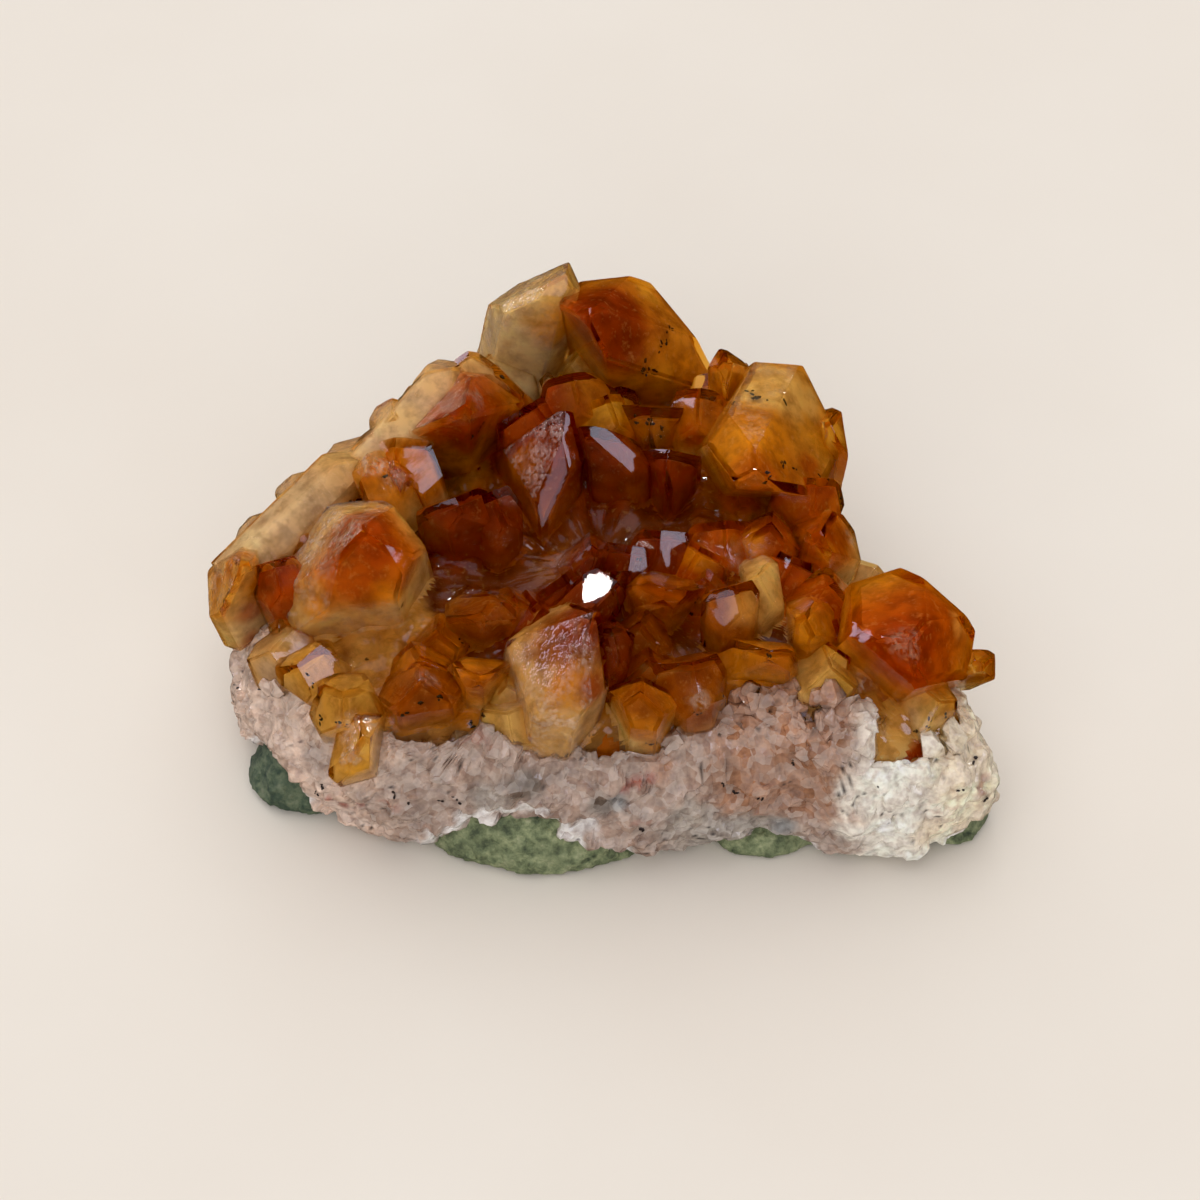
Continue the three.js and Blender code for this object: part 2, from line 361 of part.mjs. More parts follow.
// The bed that the crystals' roots have grown together into.
const bed = (grow) =>
  solid(
    rings(
      [
        [0.5, 0, ROOTS - 1, 0],
        [1, BED_INSET - grow, ROOTS - 1, 0],
        [1, BED_INSET - grow, BED_TOP - 1.6 + grow, 0.3],
        [0.82, BED_INSET - grow, BED_TOP + 1 + grow, 0.8],
        [0.66, BED_INSET, BED_TOP + 2.2 + grow, 1],
        [0.3, 0, BED_TOP + 2.4 + grow, 1.2],
      ],
      3.1,
    ),
  );
function crystalSolid(grow) {
  let made = bed(grow);
  for (const row of CRYSTALS) made = made.add(crystal(row, grow));
  const below = new THREE.BoxGeometry(140, 140, 40);
  below.translate(0, 0, ROOTS - 20 - grow);
  return made.subtract(solid(below));
}

const quartzLevels = [
  [0.5, 0, QUARTZ_LOW + 0.8, 0.5],
  [0.93, 0, QUARTZ_LOW + 0.4, 0.3],
  [1, 0.9, QUARTZ_LOW + 1.2, 0.5],
  [1, 0.0, 5.2, 1.0],
  [1, 0.4, 9.8, 1.1],
  [1, 1.8, 13.4, 1.1],
  [1, 3.8, QUARTZ_TOP - 0.6, 0.9],
  [0.8, 0, QUARTZ_TOP + 0.2, 0.9],
];

// ---- basalt rind --------------------------------------------------------
function rind(grow) {
  const inset = RIND_INSET - grow;
  const slab = solid(
    rings(
      [
        [0.6, inset, -grow, 0],
        [1, inset + 0.6, -grow, 0],
        [1, inset, 1.8, 0.5],
        [1, inset + 0.6, RIND_TOP - 1 + grow, 0.3],
        [0.7, inset, RIND_TOP + 0.3 + grow, 0.3],
      ],
      7.3,
    ),
  );
  let made = slab;
  RIND_LUMPS.forEach(([c, r], n) => {
    const g = new THREE.IcosahedronGeometry(1, n < 2 ? 4 : 2);
    const p = g.attributes.position;
    const v = new THREE.Vector3();
    for (let i = 0; i < p.count; i++) {
      v.fromBufferAttribute(p, i).normalize();
      // the same direction always gets the same bump, so the skin stays closed
      const kx = Math.round(v.x * 1e4) / 1e4, ky = Math.round(v.y * 1e4) / 1e4, kz = Math.round(v.z * 1e4) / 1e4;
      const k = 1 + 0.1 * noise(kx * 2.3 + n * 5, ky * 2.3, kz * 2.3) + 0.05 * noise(kx * 5 + n, ky * 5, kz * 5);
      p.setXYZ(
        i,
        Math.round((c[0] + kx * (r[0] + grow) * k) * 1e4) / 1e4,
        Math.round((c[1] + ky * (r[1] + grow) * k) * 1e4) / 1e4,
        Math.round((c[2] + kz * (r[2] + grow) * k) * 1e4) / 1e4,
      );
    }
    made = made.add(solid(g));
  });
  // flat underneath, and falling away a little outside the facet that it rests on
  const planes = [
    { n: new THREE.Vector3(0, 0, -1), d: grow },
    { n: new THREE.Vector3(0, 0, 1), d: 60 },
    { n: new THREE.Vector3(1, 0, 0), d: 90 },
    { n: new THREE.Vector3(-1, 0, 0), d: 90 },
    { n: new THREE.Vector3(0, 1, 0), d: 90 },
    { n: new THREE.Vector3(0, -1, 0), d: 90 },
  ];
  REST_FACET.forEach(([x, y], i) => {
    const [u, v] = REST_FACET[(i + 1) % REST_FACET.length];
    const out = new THREE.Vector3(v - y, x - u, 0).normalize();
    const n = new THREE.Vector3(out.x * REST_RISE, out.y * REST_RISE, -1);
    const d = REST_RISE * (out.x * x + out.y * y) + grow;
    planes.push({ n: n.clone().normalize(), d: d / n.length() });
  });
  return made.intersect(solid(convex(planes, new THREE.Vector3())));
}

const basalt = tidy(rind(0));
let quartz = solid(rings(quartzLevels, 1.7)).subtract(rind(GAP)).subtract(crystalSolid(GAP));

// Keep the largest body of each, without the crumbs that cutting leaves.
const largest = (s) =>
  s.decompose().sort((a, b) => b.volume() - a.volume())[0];
quartz = tidy(largest(quartz));
const crystals = tidy(largest(crystalSolid(0)));

// ---- the part -----------------------------------------------------------
const group = new THREE.Group();
group.position.set(-MIDDLE[0], -MIDDLE[1], 0);
group.name = "citrine_on_matrix";
function piece(name, s, material) {
  const mesh = new THREE.Mesh(geometryOf(s), material);
  mesh.name = name;
  group.add(mesh);
}
piece("citrine_crystals", crystals,
  new THREE.MeshStandardMaterial({ color: 0xb4591a, roughness: 0.08, metalness: 0, transparent: true, opacity: 0.55 }));
piece("quartz_matrix", quartz,
  new THREE.MeshStandardMaterial({ color: 0xb3a49c, roughness: 0.5, metalness: 0 }));
piece("basalt_rind", basalt,
  new THREE.MeshStandardMaterial({ color: 0x5c6f52, roughness: 0.9, metalness: 0 }));

export default group;
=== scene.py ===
import json
import math
import bpy
import bmesh
import numpy as np
from mathutils import Vector, geometry
from mathutils.bvhtree import BVHTree
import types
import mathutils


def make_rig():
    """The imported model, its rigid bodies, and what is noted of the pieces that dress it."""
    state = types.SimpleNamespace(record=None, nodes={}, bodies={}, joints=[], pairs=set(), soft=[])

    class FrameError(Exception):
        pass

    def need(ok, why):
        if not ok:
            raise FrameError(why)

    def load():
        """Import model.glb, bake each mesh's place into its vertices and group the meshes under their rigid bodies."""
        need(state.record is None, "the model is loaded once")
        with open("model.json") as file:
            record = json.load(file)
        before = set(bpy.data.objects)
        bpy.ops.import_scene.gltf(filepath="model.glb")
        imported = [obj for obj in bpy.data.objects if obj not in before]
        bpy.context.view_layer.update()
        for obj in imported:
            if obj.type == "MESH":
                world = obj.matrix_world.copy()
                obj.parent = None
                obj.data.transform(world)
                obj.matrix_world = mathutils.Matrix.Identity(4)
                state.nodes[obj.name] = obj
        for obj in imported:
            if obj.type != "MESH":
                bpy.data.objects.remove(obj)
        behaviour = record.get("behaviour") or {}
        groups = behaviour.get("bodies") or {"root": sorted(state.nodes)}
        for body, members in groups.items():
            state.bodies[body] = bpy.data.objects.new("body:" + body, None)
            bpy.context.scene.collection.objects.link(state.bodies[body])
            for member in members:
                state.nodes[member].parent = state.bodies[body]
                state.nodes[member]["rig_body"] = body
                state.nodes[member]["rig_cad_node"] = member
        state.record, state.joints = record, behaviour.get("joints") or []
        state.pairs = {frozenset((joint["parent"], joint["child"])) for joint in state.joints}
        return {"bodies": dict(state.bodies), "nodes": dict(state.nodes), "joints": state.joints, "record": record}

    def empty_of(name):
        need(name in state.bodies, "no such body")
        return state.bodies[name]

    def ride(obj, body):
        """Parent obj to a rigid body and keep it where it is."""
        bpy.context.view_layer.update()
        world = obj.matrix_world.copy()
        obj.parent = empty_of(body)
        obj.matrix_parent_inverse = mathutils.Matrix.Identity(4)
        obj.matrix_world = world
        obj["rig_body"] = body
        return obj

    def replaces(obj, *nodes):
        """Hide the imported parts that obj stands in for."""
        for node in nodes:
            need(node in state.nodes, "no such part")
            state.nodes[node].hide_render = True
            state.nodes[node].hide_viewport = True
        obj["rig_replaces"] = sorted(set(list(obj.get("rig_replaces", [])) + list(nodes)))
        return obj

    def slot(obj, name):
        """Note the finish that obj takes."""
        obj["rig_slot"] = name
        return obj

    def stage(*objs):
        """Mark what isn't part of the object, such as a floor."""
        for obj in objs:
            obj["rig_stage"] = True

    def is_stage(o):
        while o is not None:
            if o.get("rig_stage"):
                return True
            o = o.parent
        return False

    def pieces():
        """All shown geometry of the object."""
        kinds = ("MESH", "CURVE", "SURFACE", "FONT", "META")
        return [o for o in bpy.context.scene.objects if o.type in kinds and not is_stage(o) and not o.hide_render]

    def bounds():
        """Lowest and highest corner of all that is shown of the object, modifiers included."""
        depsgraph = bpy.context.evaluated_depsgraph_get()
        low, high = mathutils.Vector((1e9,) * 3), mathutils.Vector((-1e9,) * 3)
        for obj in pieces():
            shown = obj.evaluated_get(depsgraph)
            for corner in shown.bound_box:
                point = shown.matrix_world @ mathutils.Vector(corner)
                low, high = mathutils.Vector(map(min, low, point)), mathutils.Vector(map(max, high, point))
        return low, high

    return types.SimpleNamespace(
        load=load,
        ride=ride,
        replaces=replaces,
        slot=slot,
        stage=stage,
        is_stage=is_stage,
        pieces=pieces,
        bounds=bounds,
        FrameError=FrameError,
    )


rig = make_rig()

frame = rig.load()
cad_box = [[float(v) for v in c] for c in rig.bounds()]

MM = 0.001
SHIFT = np.array([0.0, -6.19, 0.0])   # from the table's frame to the part's, in mm
RHOMB = math.radians(51.8)            # tilt of a termination face from the c axis's normal plane
CUT = 13.2                            # level at which the crystals' roots end

# Outline of the quartz layer in plan, anticlockwise from the left end.
OUTLINE = [
    [-44.6, -7], [-43.2, -11.5], [-40.2, -16.5], [-36.6, -21.4], [-30, -25.2], [-22.5, -27.6],
    [-14.5, -28.3], [-7, -29.4], [1, -30], [8, -29.2], [15, -28.2], [22, -27.2],
    [30, -29.2], [38, -28.9], [44.6, -26.8], [47.4, -22.6], [45.6, -17], [42.2, -10],
    [36.4, -4], [32, 3], [30.6, 11], [29.4, 19], [25, 26], [17, 31],
    [8, 35.6], [-2, 37.2], [-9, 35], [-16, 30.4], [-22.5, 25.6], [-29.4, 18],
    [-36, 10], [-41.4, 3.4], [-44.8, -2],
]

# Places where the basalt is thicker and shows: centre, radii.
LUMPS = [
    [[-7.5, -23.4, 0.5], [13.6, 6.9, 9.6]],
    [[-35.2, -15.2, 0.8], [7.2, 6.6, 7.2]],
    [[19.5, -23.5, 0.4], [6.5, 4.6, 3.2]],
    [[41.9, -20.6, 0.6], [4.9, 5.2, 3.6]],
    [[8, 27, 0.4], [12, 9.2, 6.2]],
    [[-26, 12, 0.4], [8, 8, 5.6]],
]

# One row for each crystal: name, tip, [lean to +X, lean to +Y, twist] in degrees, how far each of
# its 6 termination faces stands off the tip (9: no such face), how far each of its 6 prism faces
# stands off the axis through the tip, its length, and its colouring.
CRYSTALS = [
    ["A", [-27.7, -7, 36], [-4.9, -14.6, 33.7], [0.1, 0.4, 0, 1.2, 0, 1.2], [6.2, 10.3, 13.7, 11.4, 5.9, 5.5], 22, "orange"],
    ["L1", [-42.2, -5.6, 29], [-10.2, -10.2, 63.4], [0, 0.6, 0, 1.2, 0, 1.2], [7.7, 6.2, 5.9, 5, 1, 1], 15, "amber"],
    ["B", [-15.9, 13.6, 35], [2.2, -12.2, 23.9], [0, 2.5, 0.3, 1.3, 0, 1.2], [10, 9.5, 11.3, 6.5, 1, 1], 18, "deep"],
    ["B2", [-27.7, 9.6, 31], [-17.8, 13.7, 21.6], [0, 1.7, 0, 1.5, 0.4, 0.6], [3.8, 3.4, 3.5, 2.9, 3.5, 4.1], 11, "amber"],
    ["B3", [-24, 7.1, 31], [-0.1, -1.5, 37.1], [0, 1.3, 0.5, 1.2, 0, 1.2], [4.7, 5, 6.8, 1, 4, 1], 13, "orange"],
    ["Z1", [-34.6, 9.3, 26], [-3.7, -15, 42.2], [0.2, 0.2, 0, 1.2, 0, 1.2], [7, 4.7, 6.4, 2.4, 1, 1], 13, "pale"],
    ["Z2", [-39.8, 5, 24], [-5.8, -10.5, 345.2], [0, 1.2, 0.4, 0.1, 0, 1.2], [1, 6.3, 4.5, 5.7, 3.1, 1], 12, "pale"],
    ["Z3", [-30.1, 12.3, 27.5], [-2.2, -21.3, 344.7], [0, 1.2, 0, 1.5, 0, 1.2], [1, 6, 4.2, 3.4, 2, 1], 13, "pale"],
    ["Z4", [-25.1, 16.6, 30], [1.3, -16.7, 34.4], [0.2, 1.4, 0, 1.2, 0, 1.2], [5.4, 3.3, 3.3, 1.7, 1, 1], 13, "pale"],
    ["Z5", [-19.4, 22.1, 31], [4.8, -18.3, 26.3], [0, 0, 0, 1.2, 0, 1.2], [6.6, 5.5, 3.2, 2.6, 1, 1], 14, "pale"],
    ["C", [-4.2, 33.8, 36.5], [10.4, 0.1, 19.2], [0.1, 2.7, 0.2, 0.8, 0, 1.2], [3.1, 6.8, 8.3, 6.5, 2.2, 1.6], 20, "palegold"],
    ["G", [-1.4, 26.2, 38], [-2, -20, 95.8], [0.4, 0.5, 0, 1.2, 0.1, 0.8], [9.1, 4.9, 1, 4.6, 13.5, 11.8], 22, "deep"],
    ["H", [-3.4, 22.7, 31], [-2.7, 1.1, 102.9], [0, 1.2, 0, 1.2, 0, 0.8], [3.7, 3.9, 4.2, 4, 5, 5.1], 11, "deep"],
    ["I", [6.1, 18, 29], [1.4, -6.6, 327.8], [0, 2.5, 0.6, 2.1, 0, 1.2], [2.4, 7.7, 6, 7.7, 1.8, 5], 13, "olive"],
    ["J", [15.2, 24.4, 31], [-0.7, 0.8, 35.8], [0.6, 2.1, 0.6, 1.2, 0, 1.2], [5.9, 6, 2.4, 1, 3.5, 1], 13, "amber"],
    ["J2", [12.2, 22, 29], [0.8, 4.4, 85.5], [0, 1.8, 0, 1.9, 0.1, 0.9], [3.5, 3.4, 4, 3.8, 3.7, 3.6], 11, "amber"],
    ["K", [18.5, 4.1, 34], [8, -37.5, 31.6], [0, 1, 0, 1.2, 0, 1.7], [14, 14.7, 6.1, 2.8, 2.2, 8.8], 24, "gold"],
    ["K2", [28.3, 17.2, 27], [4.7, -5.1, 5.8], [0, 2.2, 1, 1.2, 0, 1.2], [2, 7.2, 7, 1, 1, 3.4], 12, "gold"],
    ["K3", [25.7, 8.2, 28], [12.5, -5.1, 95.6], [0, 1.8, 0, 1.5, 0.2, 1.5], [3.4, 3.8, 3.4, 3.7, 4.5, 4.7], 11, "orange"],
    ["M1", [20.4, 1.5, 28], [3.5, -6.1, 20.3], [0, 1.8, 0, 1, 0.4, 1], [3, 2.9, 3.9, 3.3, 3.8, 3.8], 11, "orange"],
    ["M2", [14.9, 2.4, 27], [-0.8, 2.5, 91.7], [0, 1.5, 0, 1.1, 0, 1.3], [4.3, 4.7, 3.8, 4.4, 4.7, 3.8], 11, "orange"],
    ["D", [-17, 0.7, 33], [-4.5, -4.7, 352.9], [0, 1.5, 0, 1.5, 0, 1.2], [4.5, 4.8, 7, 5.3, 2.6, 1.7], 18, "dark"],
    ["D3", [-12.7, 3.6, 31], [2.1, 3.6, 2.3], [0, 1.7, 0, 1.5, 0.3, 1.7], [3.7, 3.9, 3.4, 3.4, 3.1, 3.9], 11, "dark"],
    ["D2", [-13.7, -14.4, 30], [0.7, -15.6, 3.3], [0, 0.8, 0, 1.2, 0, 1.2], [4.1, 4.2, 6.6, 4.3, 1, 1], 13, "brown"],
    ["E", [-4.1, 14.4, 33], [2.3, 5.8, 83.4], [0.1, 0.5, 0, 1.2, 0, 1.2], [5.8, 10.2, 6.2, 9.9, 3.8, 1], 20, "dark"],
    ["F", [-1, 12, 33], [-3.1, 4.8, 77.6], [0.1, 1.2, 0, 1.2, 0, 0.8], [5, 6.7, 1, 1, 5, 6.7], 18, "dark"],
    ["X1", [8.1, 10.1, 30], [1.8, 2.2, 82.4], [0.7, 1.7, 0, 1.2, 0, 2.3], [4.5, 4.9, 1.2, 4.5, 2.2, 4.8], 14, "dark"],
    ["X2", [7.1, -0.1, 28], [-2.5, -1.9, 83.5], [0, 0.9, 0, 0.8, 0.2, 1.7], [3.3, 3.5, 3.3, 3.6, 3.7, 3.6], 11, "dark"],
    ["X3", [11.8, -1.6, 27], [0.7, -1.6, 52.6], [0, 1.6, 0, 1.6, 0.3, 1.9], [3.4, 3.8, 4.4, 4.8, 4.2, 3.7], 11, "orange"],
    ["P", [-1.2, -2.4, 28], [-2, -1.3, 33.7], [0.2, 1.8, 0, 1.2, 0, 1.2], [5.2, 4.3, 5.9, 2.9, 4.4, 1], 13, "dark"],
    ["P2", [1.2, -8.3, 30], [3.7, -1.4, 96], [0.1, 0.1, 0, 1.2, 0, 1.3], [4.8, 2.3, 1, 2.9, 1, 5.8], 14, "dark"],
    ["Q", [7.6, -11.1, 30], [1.7, -13.4, 77.3], [0.1, 1.1, 0, 1.2, 0, 1.3], [9.3, 5.2, 3.4, 1, 1.6, 8], 15, "brown"],
    ["R", [15.4, -11.2, 31], [-0.7, -1.7, 109.3], [0, 0.9, 0, 1.1, 0.5, 1.6], [3.1, 3.5, 3.3, 3, 3, 3.2], 11, "brown"],
    ["Y", [10.4, -20.2, 28], [-3, -9.5, 100.9], [0, 2.1, 0, 1.5, 0.3, 2.1], [3.8, 4.7, 3.8, 4.7, 3.6, 3.9], 11, "brown"],
    ["S", [19.6, -18.4, 28], [-2.8, -12.4, 82.2], [0, 2.2, 0, 1.2, 0, 0.9], [3.2, 7.4, 5.7, 1, 2.6, 3.1], 13, "amber"],
    ["U", [18.5, -7.9, 29], [1.2, -9.1, 126.3], [0.1, 1.2, 0, 1.2, 0, 1.3], [7.2, 1.3, 3.5, 3.8, 3.1, 8.1], 13, "palegold"],
    ["V", [23.8, -14, 29], [2.7, -10.2, 4.7], [0, 1.3, 0.1, 1.2, 0, 1.2], [4.3, 6.6, 6.9, 1.2, 1.7, 2.3], 13, "amber"],
    ["T", [26, -1, 29], [7.7, -6, 9], [0.1, 2.5, 0, 1.2, 0, 1.2], [6.9, 8.3, 8.9, 1, 1, 2.5], 13, "orange"],
    ["T2", [27.6, -7, 27], [11.7, -5.8, 27.4], [0, 1.2, 0, 0.7, 0.4, 1.6], [4.6, 3.9, 3.9, 5.3, 5.3, 5.3], 11, "orange"],
    ["W", [35.5, -21.9, 34], [8.2, -29.4, 353], [0, 1.4, 0.1, 1.2, 0, 1.2], [9.2, 9.1, 9.9, 6.3, 3, 5.1], 22, "red"],
    ["W2", [44.8, -17, 24], [25.4, -26.1, 104.8], [0, 1.2, 0, 1.2, 0.1, 1.2], [2.2, 1, 1, 1, 3.9, 3], 12, "amber"],
    ["W3", [39.5, -21, 22], [16.4, -28.1, 77.8], [0, 1.9, 0, 1.6, 0.2, 1.1], [3.8, 2.9, 4, 4.2, 3.2, 2.9], 11, "palegold"],
    ["N", [-0.7, -17.6, 34], [7.9, -4.8, 78.9], [0, 0, 0, 1.2, 0, 1.1], [6, 7.9, 8, 9.2, 5.6, 1], 20, "frost"],
    ["N2", [0.9, -16.8, 30], [4.8, -7.6, 109.9], [0, 0.5, 0, 1.7, 0.5, 0.6], [3.7, 3.3, 3.8, 4.1, 3.3, 3.2], 11, "dark"],
    ["O1", [-20.7, -22.1, 27], [-1.6, -20.6, 38.1], [0, 0.8, 0, 1.2, 0, 1.2], [4.1, 3.3, 5.1, 4.3, 2.8, 4.2], 13, "brown"],
    ["O2", [-27.4, -27, 23], [-6.3, -26.7, 45.6], [0, 1.1, 0, 1, 0, 1.2], [3.6, 3.2, 4.1, 5.9, 3.1, 1], 12, "clear"],
    ["O3", [4.6, -24.4, 28], [1.1, -16.4, 26.1], [0, 1.2, 0, 1.2, 0, 1.2], [4.7, 2.5, 5, 2.3, 3.2, 3.6], 14, "amber"],
    ["O4", [11.5, -23.5, 26], [0, -20.3, 9.9], [0, 1, 0, 1.2, 0, 1.2], [3.4, 2.3, 3.4, 2, 1, 1.3], 12, "clear"],
    ["O5", [-13.8, -22.2, 28], [0.7, -17.8, 85], [0, 1.3, 0, 1.2, 0, 1.2], [4.3, 4.3, 1.9, 1, 1, 4.5], 13, "amber"],
    ["O6", [-30, -22, 25], [-6.7, -21.5, 84.7], [0, 1, 0, 1.6, 0.4, 0.9], [3.6, 3.5, 4.7, 3.7, 4.5, 3.5], 11, "clear"],
    ["O7", [-35.4, -18.2, 25], [-17.4, -25.6, 105.5], [0, 1.3, 0, 1.3, 0.3, 1.8], [2.9, 3.4, 3, 3.6, 3.8, 3.6], 11, "clear"],
    ["Z6", [-16.6, 28.9, 28], [-9.2, 19.1, 103.4], [0, 0.6, 0, 1.2, 0.5, 0.9], [2.7, 3.4, 2.7, 3.3, 3.5, 3.1], 11, "olive"],
    ["f1", [-19.2, -12.7, 25], [-6.1, -12.1, 26.8], [0, 9, 0, 9, 0.2, 9], [3.8, 3.3, 3.6, 4, 3.7, 3.2], 11, "amber"],
    ["f2", [-7, -11.4, 27.5], [-0.4, -3.8, 49.9], [0, 9, 0, 9, 0.5, 9], [4.2, 5.3, 5.2, 5.3, 5, 4.4], 11, "dark"],
    ["f4", [5.8, -17.6, 26], [2.7, -9.3, 36.1], [0, 9, 0, 9, 0.2, 9], [3.9, 3.7, 3.8, 4.3, 3.7, 3.8], 11, "brown"],
    ["f6", [26.9, -18.2, 25], [6.6, -15.6, 39], [0, 9, 0, 9, 0.4, 9], [3.3, 4.4, 4, 4.5, 4, 3.8], 11, "palegold"],
    ["f9", [12.4, -5.4, 26], [-1.8, -4.1, 20.8], [0, 9, 0, 9, 0.4, 9], [4.3, 3.2, 3.6, 3.8, 4, 3.2], 11, "brown"],
    ["f10", [22.5, -2.7, 26.5], [6.1, -5, 66.8], [0, 9, 0, 9, 0.4, 9], [4, 4.9, 5.1, 3.8, 3.8, 4.6], 11, "orange"],
    ["f12", [-38.6, -4.8, 28], [-11.6, -2.3, 98.8], [0, 9, 0, 9, 0.3, 9], [2.8, 3.1, 3.4, 3.7, 2.7, 2.8], 11, "deep"],
    ["f14", [-24.6, 12.1, 31], [-11, 6.8, 80.6], [0, 9, 0, 9, 0.3, 9], [3.7, 4.8, 4.2, 4.1, 4.8, 3.9], 11, "orange"],
    ["f15", [-7.9, 20, 29], [-1.5, 5.3, 10.9], [0, 9, 0, 9, 0.5, 9], [5, 4.5, 4.4, 4.9, 3.8, 4.2], 11, "deep"],
    ["f19", [-39, -13.8, 22], [-19.7, -26, 113.9], [0, 9, 0, 9, 0.3, 9], [4.2, 3.7, 4.2, 4, 3.7, 4.1], 11, "pale"],
    ["f23", [32.8, -22.7, 20], [5.7, -20.9, 1.9], [0, 9, 0, 9, 0.3, 9], [4.5, 4.3, 4.2, 4.5, 3.7, 3.9], 11, "palegold"],
    ["f24", [-11, -23.2, 22.5], [-3.4, -18.7, 98.5], [0, 9, 0, 9, 0.5, 9], [3, 3.2, 2.8, 3.4, 3.8, 3.1], 11, "palegold"],
    ["f25", [-20.9, -17.6, 26], [-1.7, -10.2, 50.4], [0, 9, 0, 9, 0, 9], [3.8, 3.5, 3.9, 3.5, 3.8, 3.2], 11, "amber"],
    ["f30", [37.9, -20.9, 19], [14.2, -24.3, 71.9], [0, 9, 0, 9, 0.5, 9], [3, 4.1, 3, 4.2, 3.3, 3.2], 11, "pale"],
    ["f31", [0.6, 20.8, 29], [1.6, 9.6, 115.3], [0, 9, 0, 9, 0.4, 9], [3.5, 4.6, 4.2, 3.7, 4.2, 3.4], 11, "gold"],
    ["f32", [3.6, -1.6, 27], [-3.1, -2.2, 77], [0, 9, 0, 9, 0.4, 9], [3.7, 4, 3.6, 3.7, 4.1, 3.5], 11, "dark"],
    ["b2", [-1, 36, 25], [-0.7, 30.6, 54.1], [0, 9, 0, 9, 0.3, 9], [4.4, 5.8, 4.3, 5.1, 5.9, 4.4], 12, "palegold"],
    ["b4", [18, 30, 25], [20, 22.8, 117], [0, 9, 0, 9, 0.2, 9], [4.8, 5.3, 4.8, 5.2, 4.9, 3.8], 12, "amber"],
    ["b5", [27, 24, 23], [25.8, 15.5, 107.3], [0, 9, 0, 9, 0.4, 9], [4.2, 4, 4.8, 4.4, 5.2, 3.8], 11, "palegold"],
    ["b6", [-22, 27, 25], [-13.4, 27.7, 11.1], [0, 9, 0, 9, 0.3, 9], [5, 4.5, 4, 5.3, 4.8, 4.1], 11, "pale"],
    ["b7", [-31, 18, 23], [-22.8, 24.8, 25.2], [0, 9, 0, 9, 0.3, 9], [4.2, 3.4, 3.6, 4, 4.1, 4.6], 11, "pale"],
    ["b8", [-38, 9.5, 20], [-31, 15.5, 97.4], [0, 9, 0, 9, 0.4, 9], [3.7, 3.3, 3.8, 4.2, 4.6, 3.6], 11, "pale"],
    ["b9", [-45, 0.5, 19], [-32.5, 9.7, 90.3], [0, 9, 0, 9, 0.2, 9], [3.9, 3.7, 3.8, 3.1, 3.1, 3.8], 11, "pale"],
    ["b12", [-16, 31, 18], [-15.2, 41.1, 16.2], [0, 9, 0, 9, 0.2, 9], [4.1, 3.9, 4.5, 3.4, 4.6, 4.3], 10, "pale"],
    ["b13", [5, 35.5, 17.5], [7.5, 43.2, 83], [0, 9, 0, 9, 0.1, 9], [4.6, 4.6, 5, 4.9, 3.9, 3.5], 10, "pale"],
    ["b14", [23, 28.5, 17], [24, 31.7, 43.7], [0, 9, 0, 9, 0.3, 9], [4.7, 3.6, 3.9, 4.5, 3.5, 3.8], 10, "palegold"],
    ["b15", [-27, 24.5, 15], [-23.1, 36, 92.3], [0, 9, 0, 9, 0, 9], [4.7, 3.9, 3.5, 3.5, 3.9, 4.5], 11, "pale"],
    ["b18", [-13, 28, 27], [-1.6, 16.6, 26.1], [0, 9, 0, 9, 0.1, 9], [4, 3.8, 4.8, 5, 3.8, 4.6], 11, "orange"],
    ["b1", [-14, 33.5, 23], [-15.1, 27.1, 72.1], [0, 9, 0, 9, 0.1, 9], [4.6, 5.3, 3.7, 3.9, 4, 5.1], 11, "pale"],
    ["b16", [-2, 32, 25], [-0.6, 16.9, 32.6], [0, 9, 0, 9, 0.1, 9], [4.6, 5, 5, 5, 4.9, 5.6], 11, "amber"],
    ["b10", [33.5, 4, 17], [27, 11, 60.5], [0, 9, 0, 9, 0.3, 9], [3.4, 4.2, 3.8, 3.1, 4.1, 3.3], 11, "pale"],
    ["b11", [40, -7, 18], [26.8, 1.5, 91.8], [0, 9, 0, 9, 0.2, 9], [3.7, 3.6, 3.5, 3.5, 3.6, 4.5], 11, "palegold"],
    ["g1", [-9.6, -9.3, 26.5], [-2, -4.5, 54.9], [0, 1.4, 0, 0.8, 0.4, 0.6], [3.7, 4.6, 4.6, 3.5, 3.9, 4.2], 11, "brown"],
    ["g2", [-4, -5.8, 27], [-2.8, 6.1, 15.6], [0, 1.3, 0, 1.1, 0.4, 2], [4.1, 3.7, 4.2, 4.5, 3.8, 4.3], 11, "dark"],
    ["g3", [4.7, -13.5, 27.5], [0.3, -7, 16.3], [0, 1.8, 0, 1.5, 0.1, 1], [3.5, 3.9, 3.3, 3.7, 3.2, 3.5], 11, "brown"],
    ["P3", [2.1, -10.7, 31.2], [34.6, 0, 60], [0, 1.6, 0, 1.6, 0, 1.2], [3, 3.2, 2.7, 3.2, 3, 2.4], 17, "dark"],
    ["y0", [-37.4, 7.4, 25.2], [-14, -16, 0], [0, 0.9, 0.1, 1.1, 0, 0.8], [3.4, 3, 3.6, 3.2, 3, 3.3], 14.7, "pale"],
    ["y1", [-32.3, 11, 26.9], [-11, -12, 37], [0, 0.9, 0.1, 1.1, 0, 0.8], [3.4, 3, 3.6, 3.2, 3, 3.3], 16.5, "pale"],
    ["y2", [-27.6, 14.6, 28.8], [-8, -8, 14], [0, 0.9, 0.1, 1.1, 0, 0.8], [3.4, 3, 3.6, 3.2, 3, 3.3], 18.5, "pale"],
    ["y3", [-22.2, 19.5, 30.5], [-12, -16, 51], [0, 0.9, 0.1, 1.1, 0, 0.8], [3.4, 3, 3.6, 3.2, 3, 3.3], 20.3, "pale"],
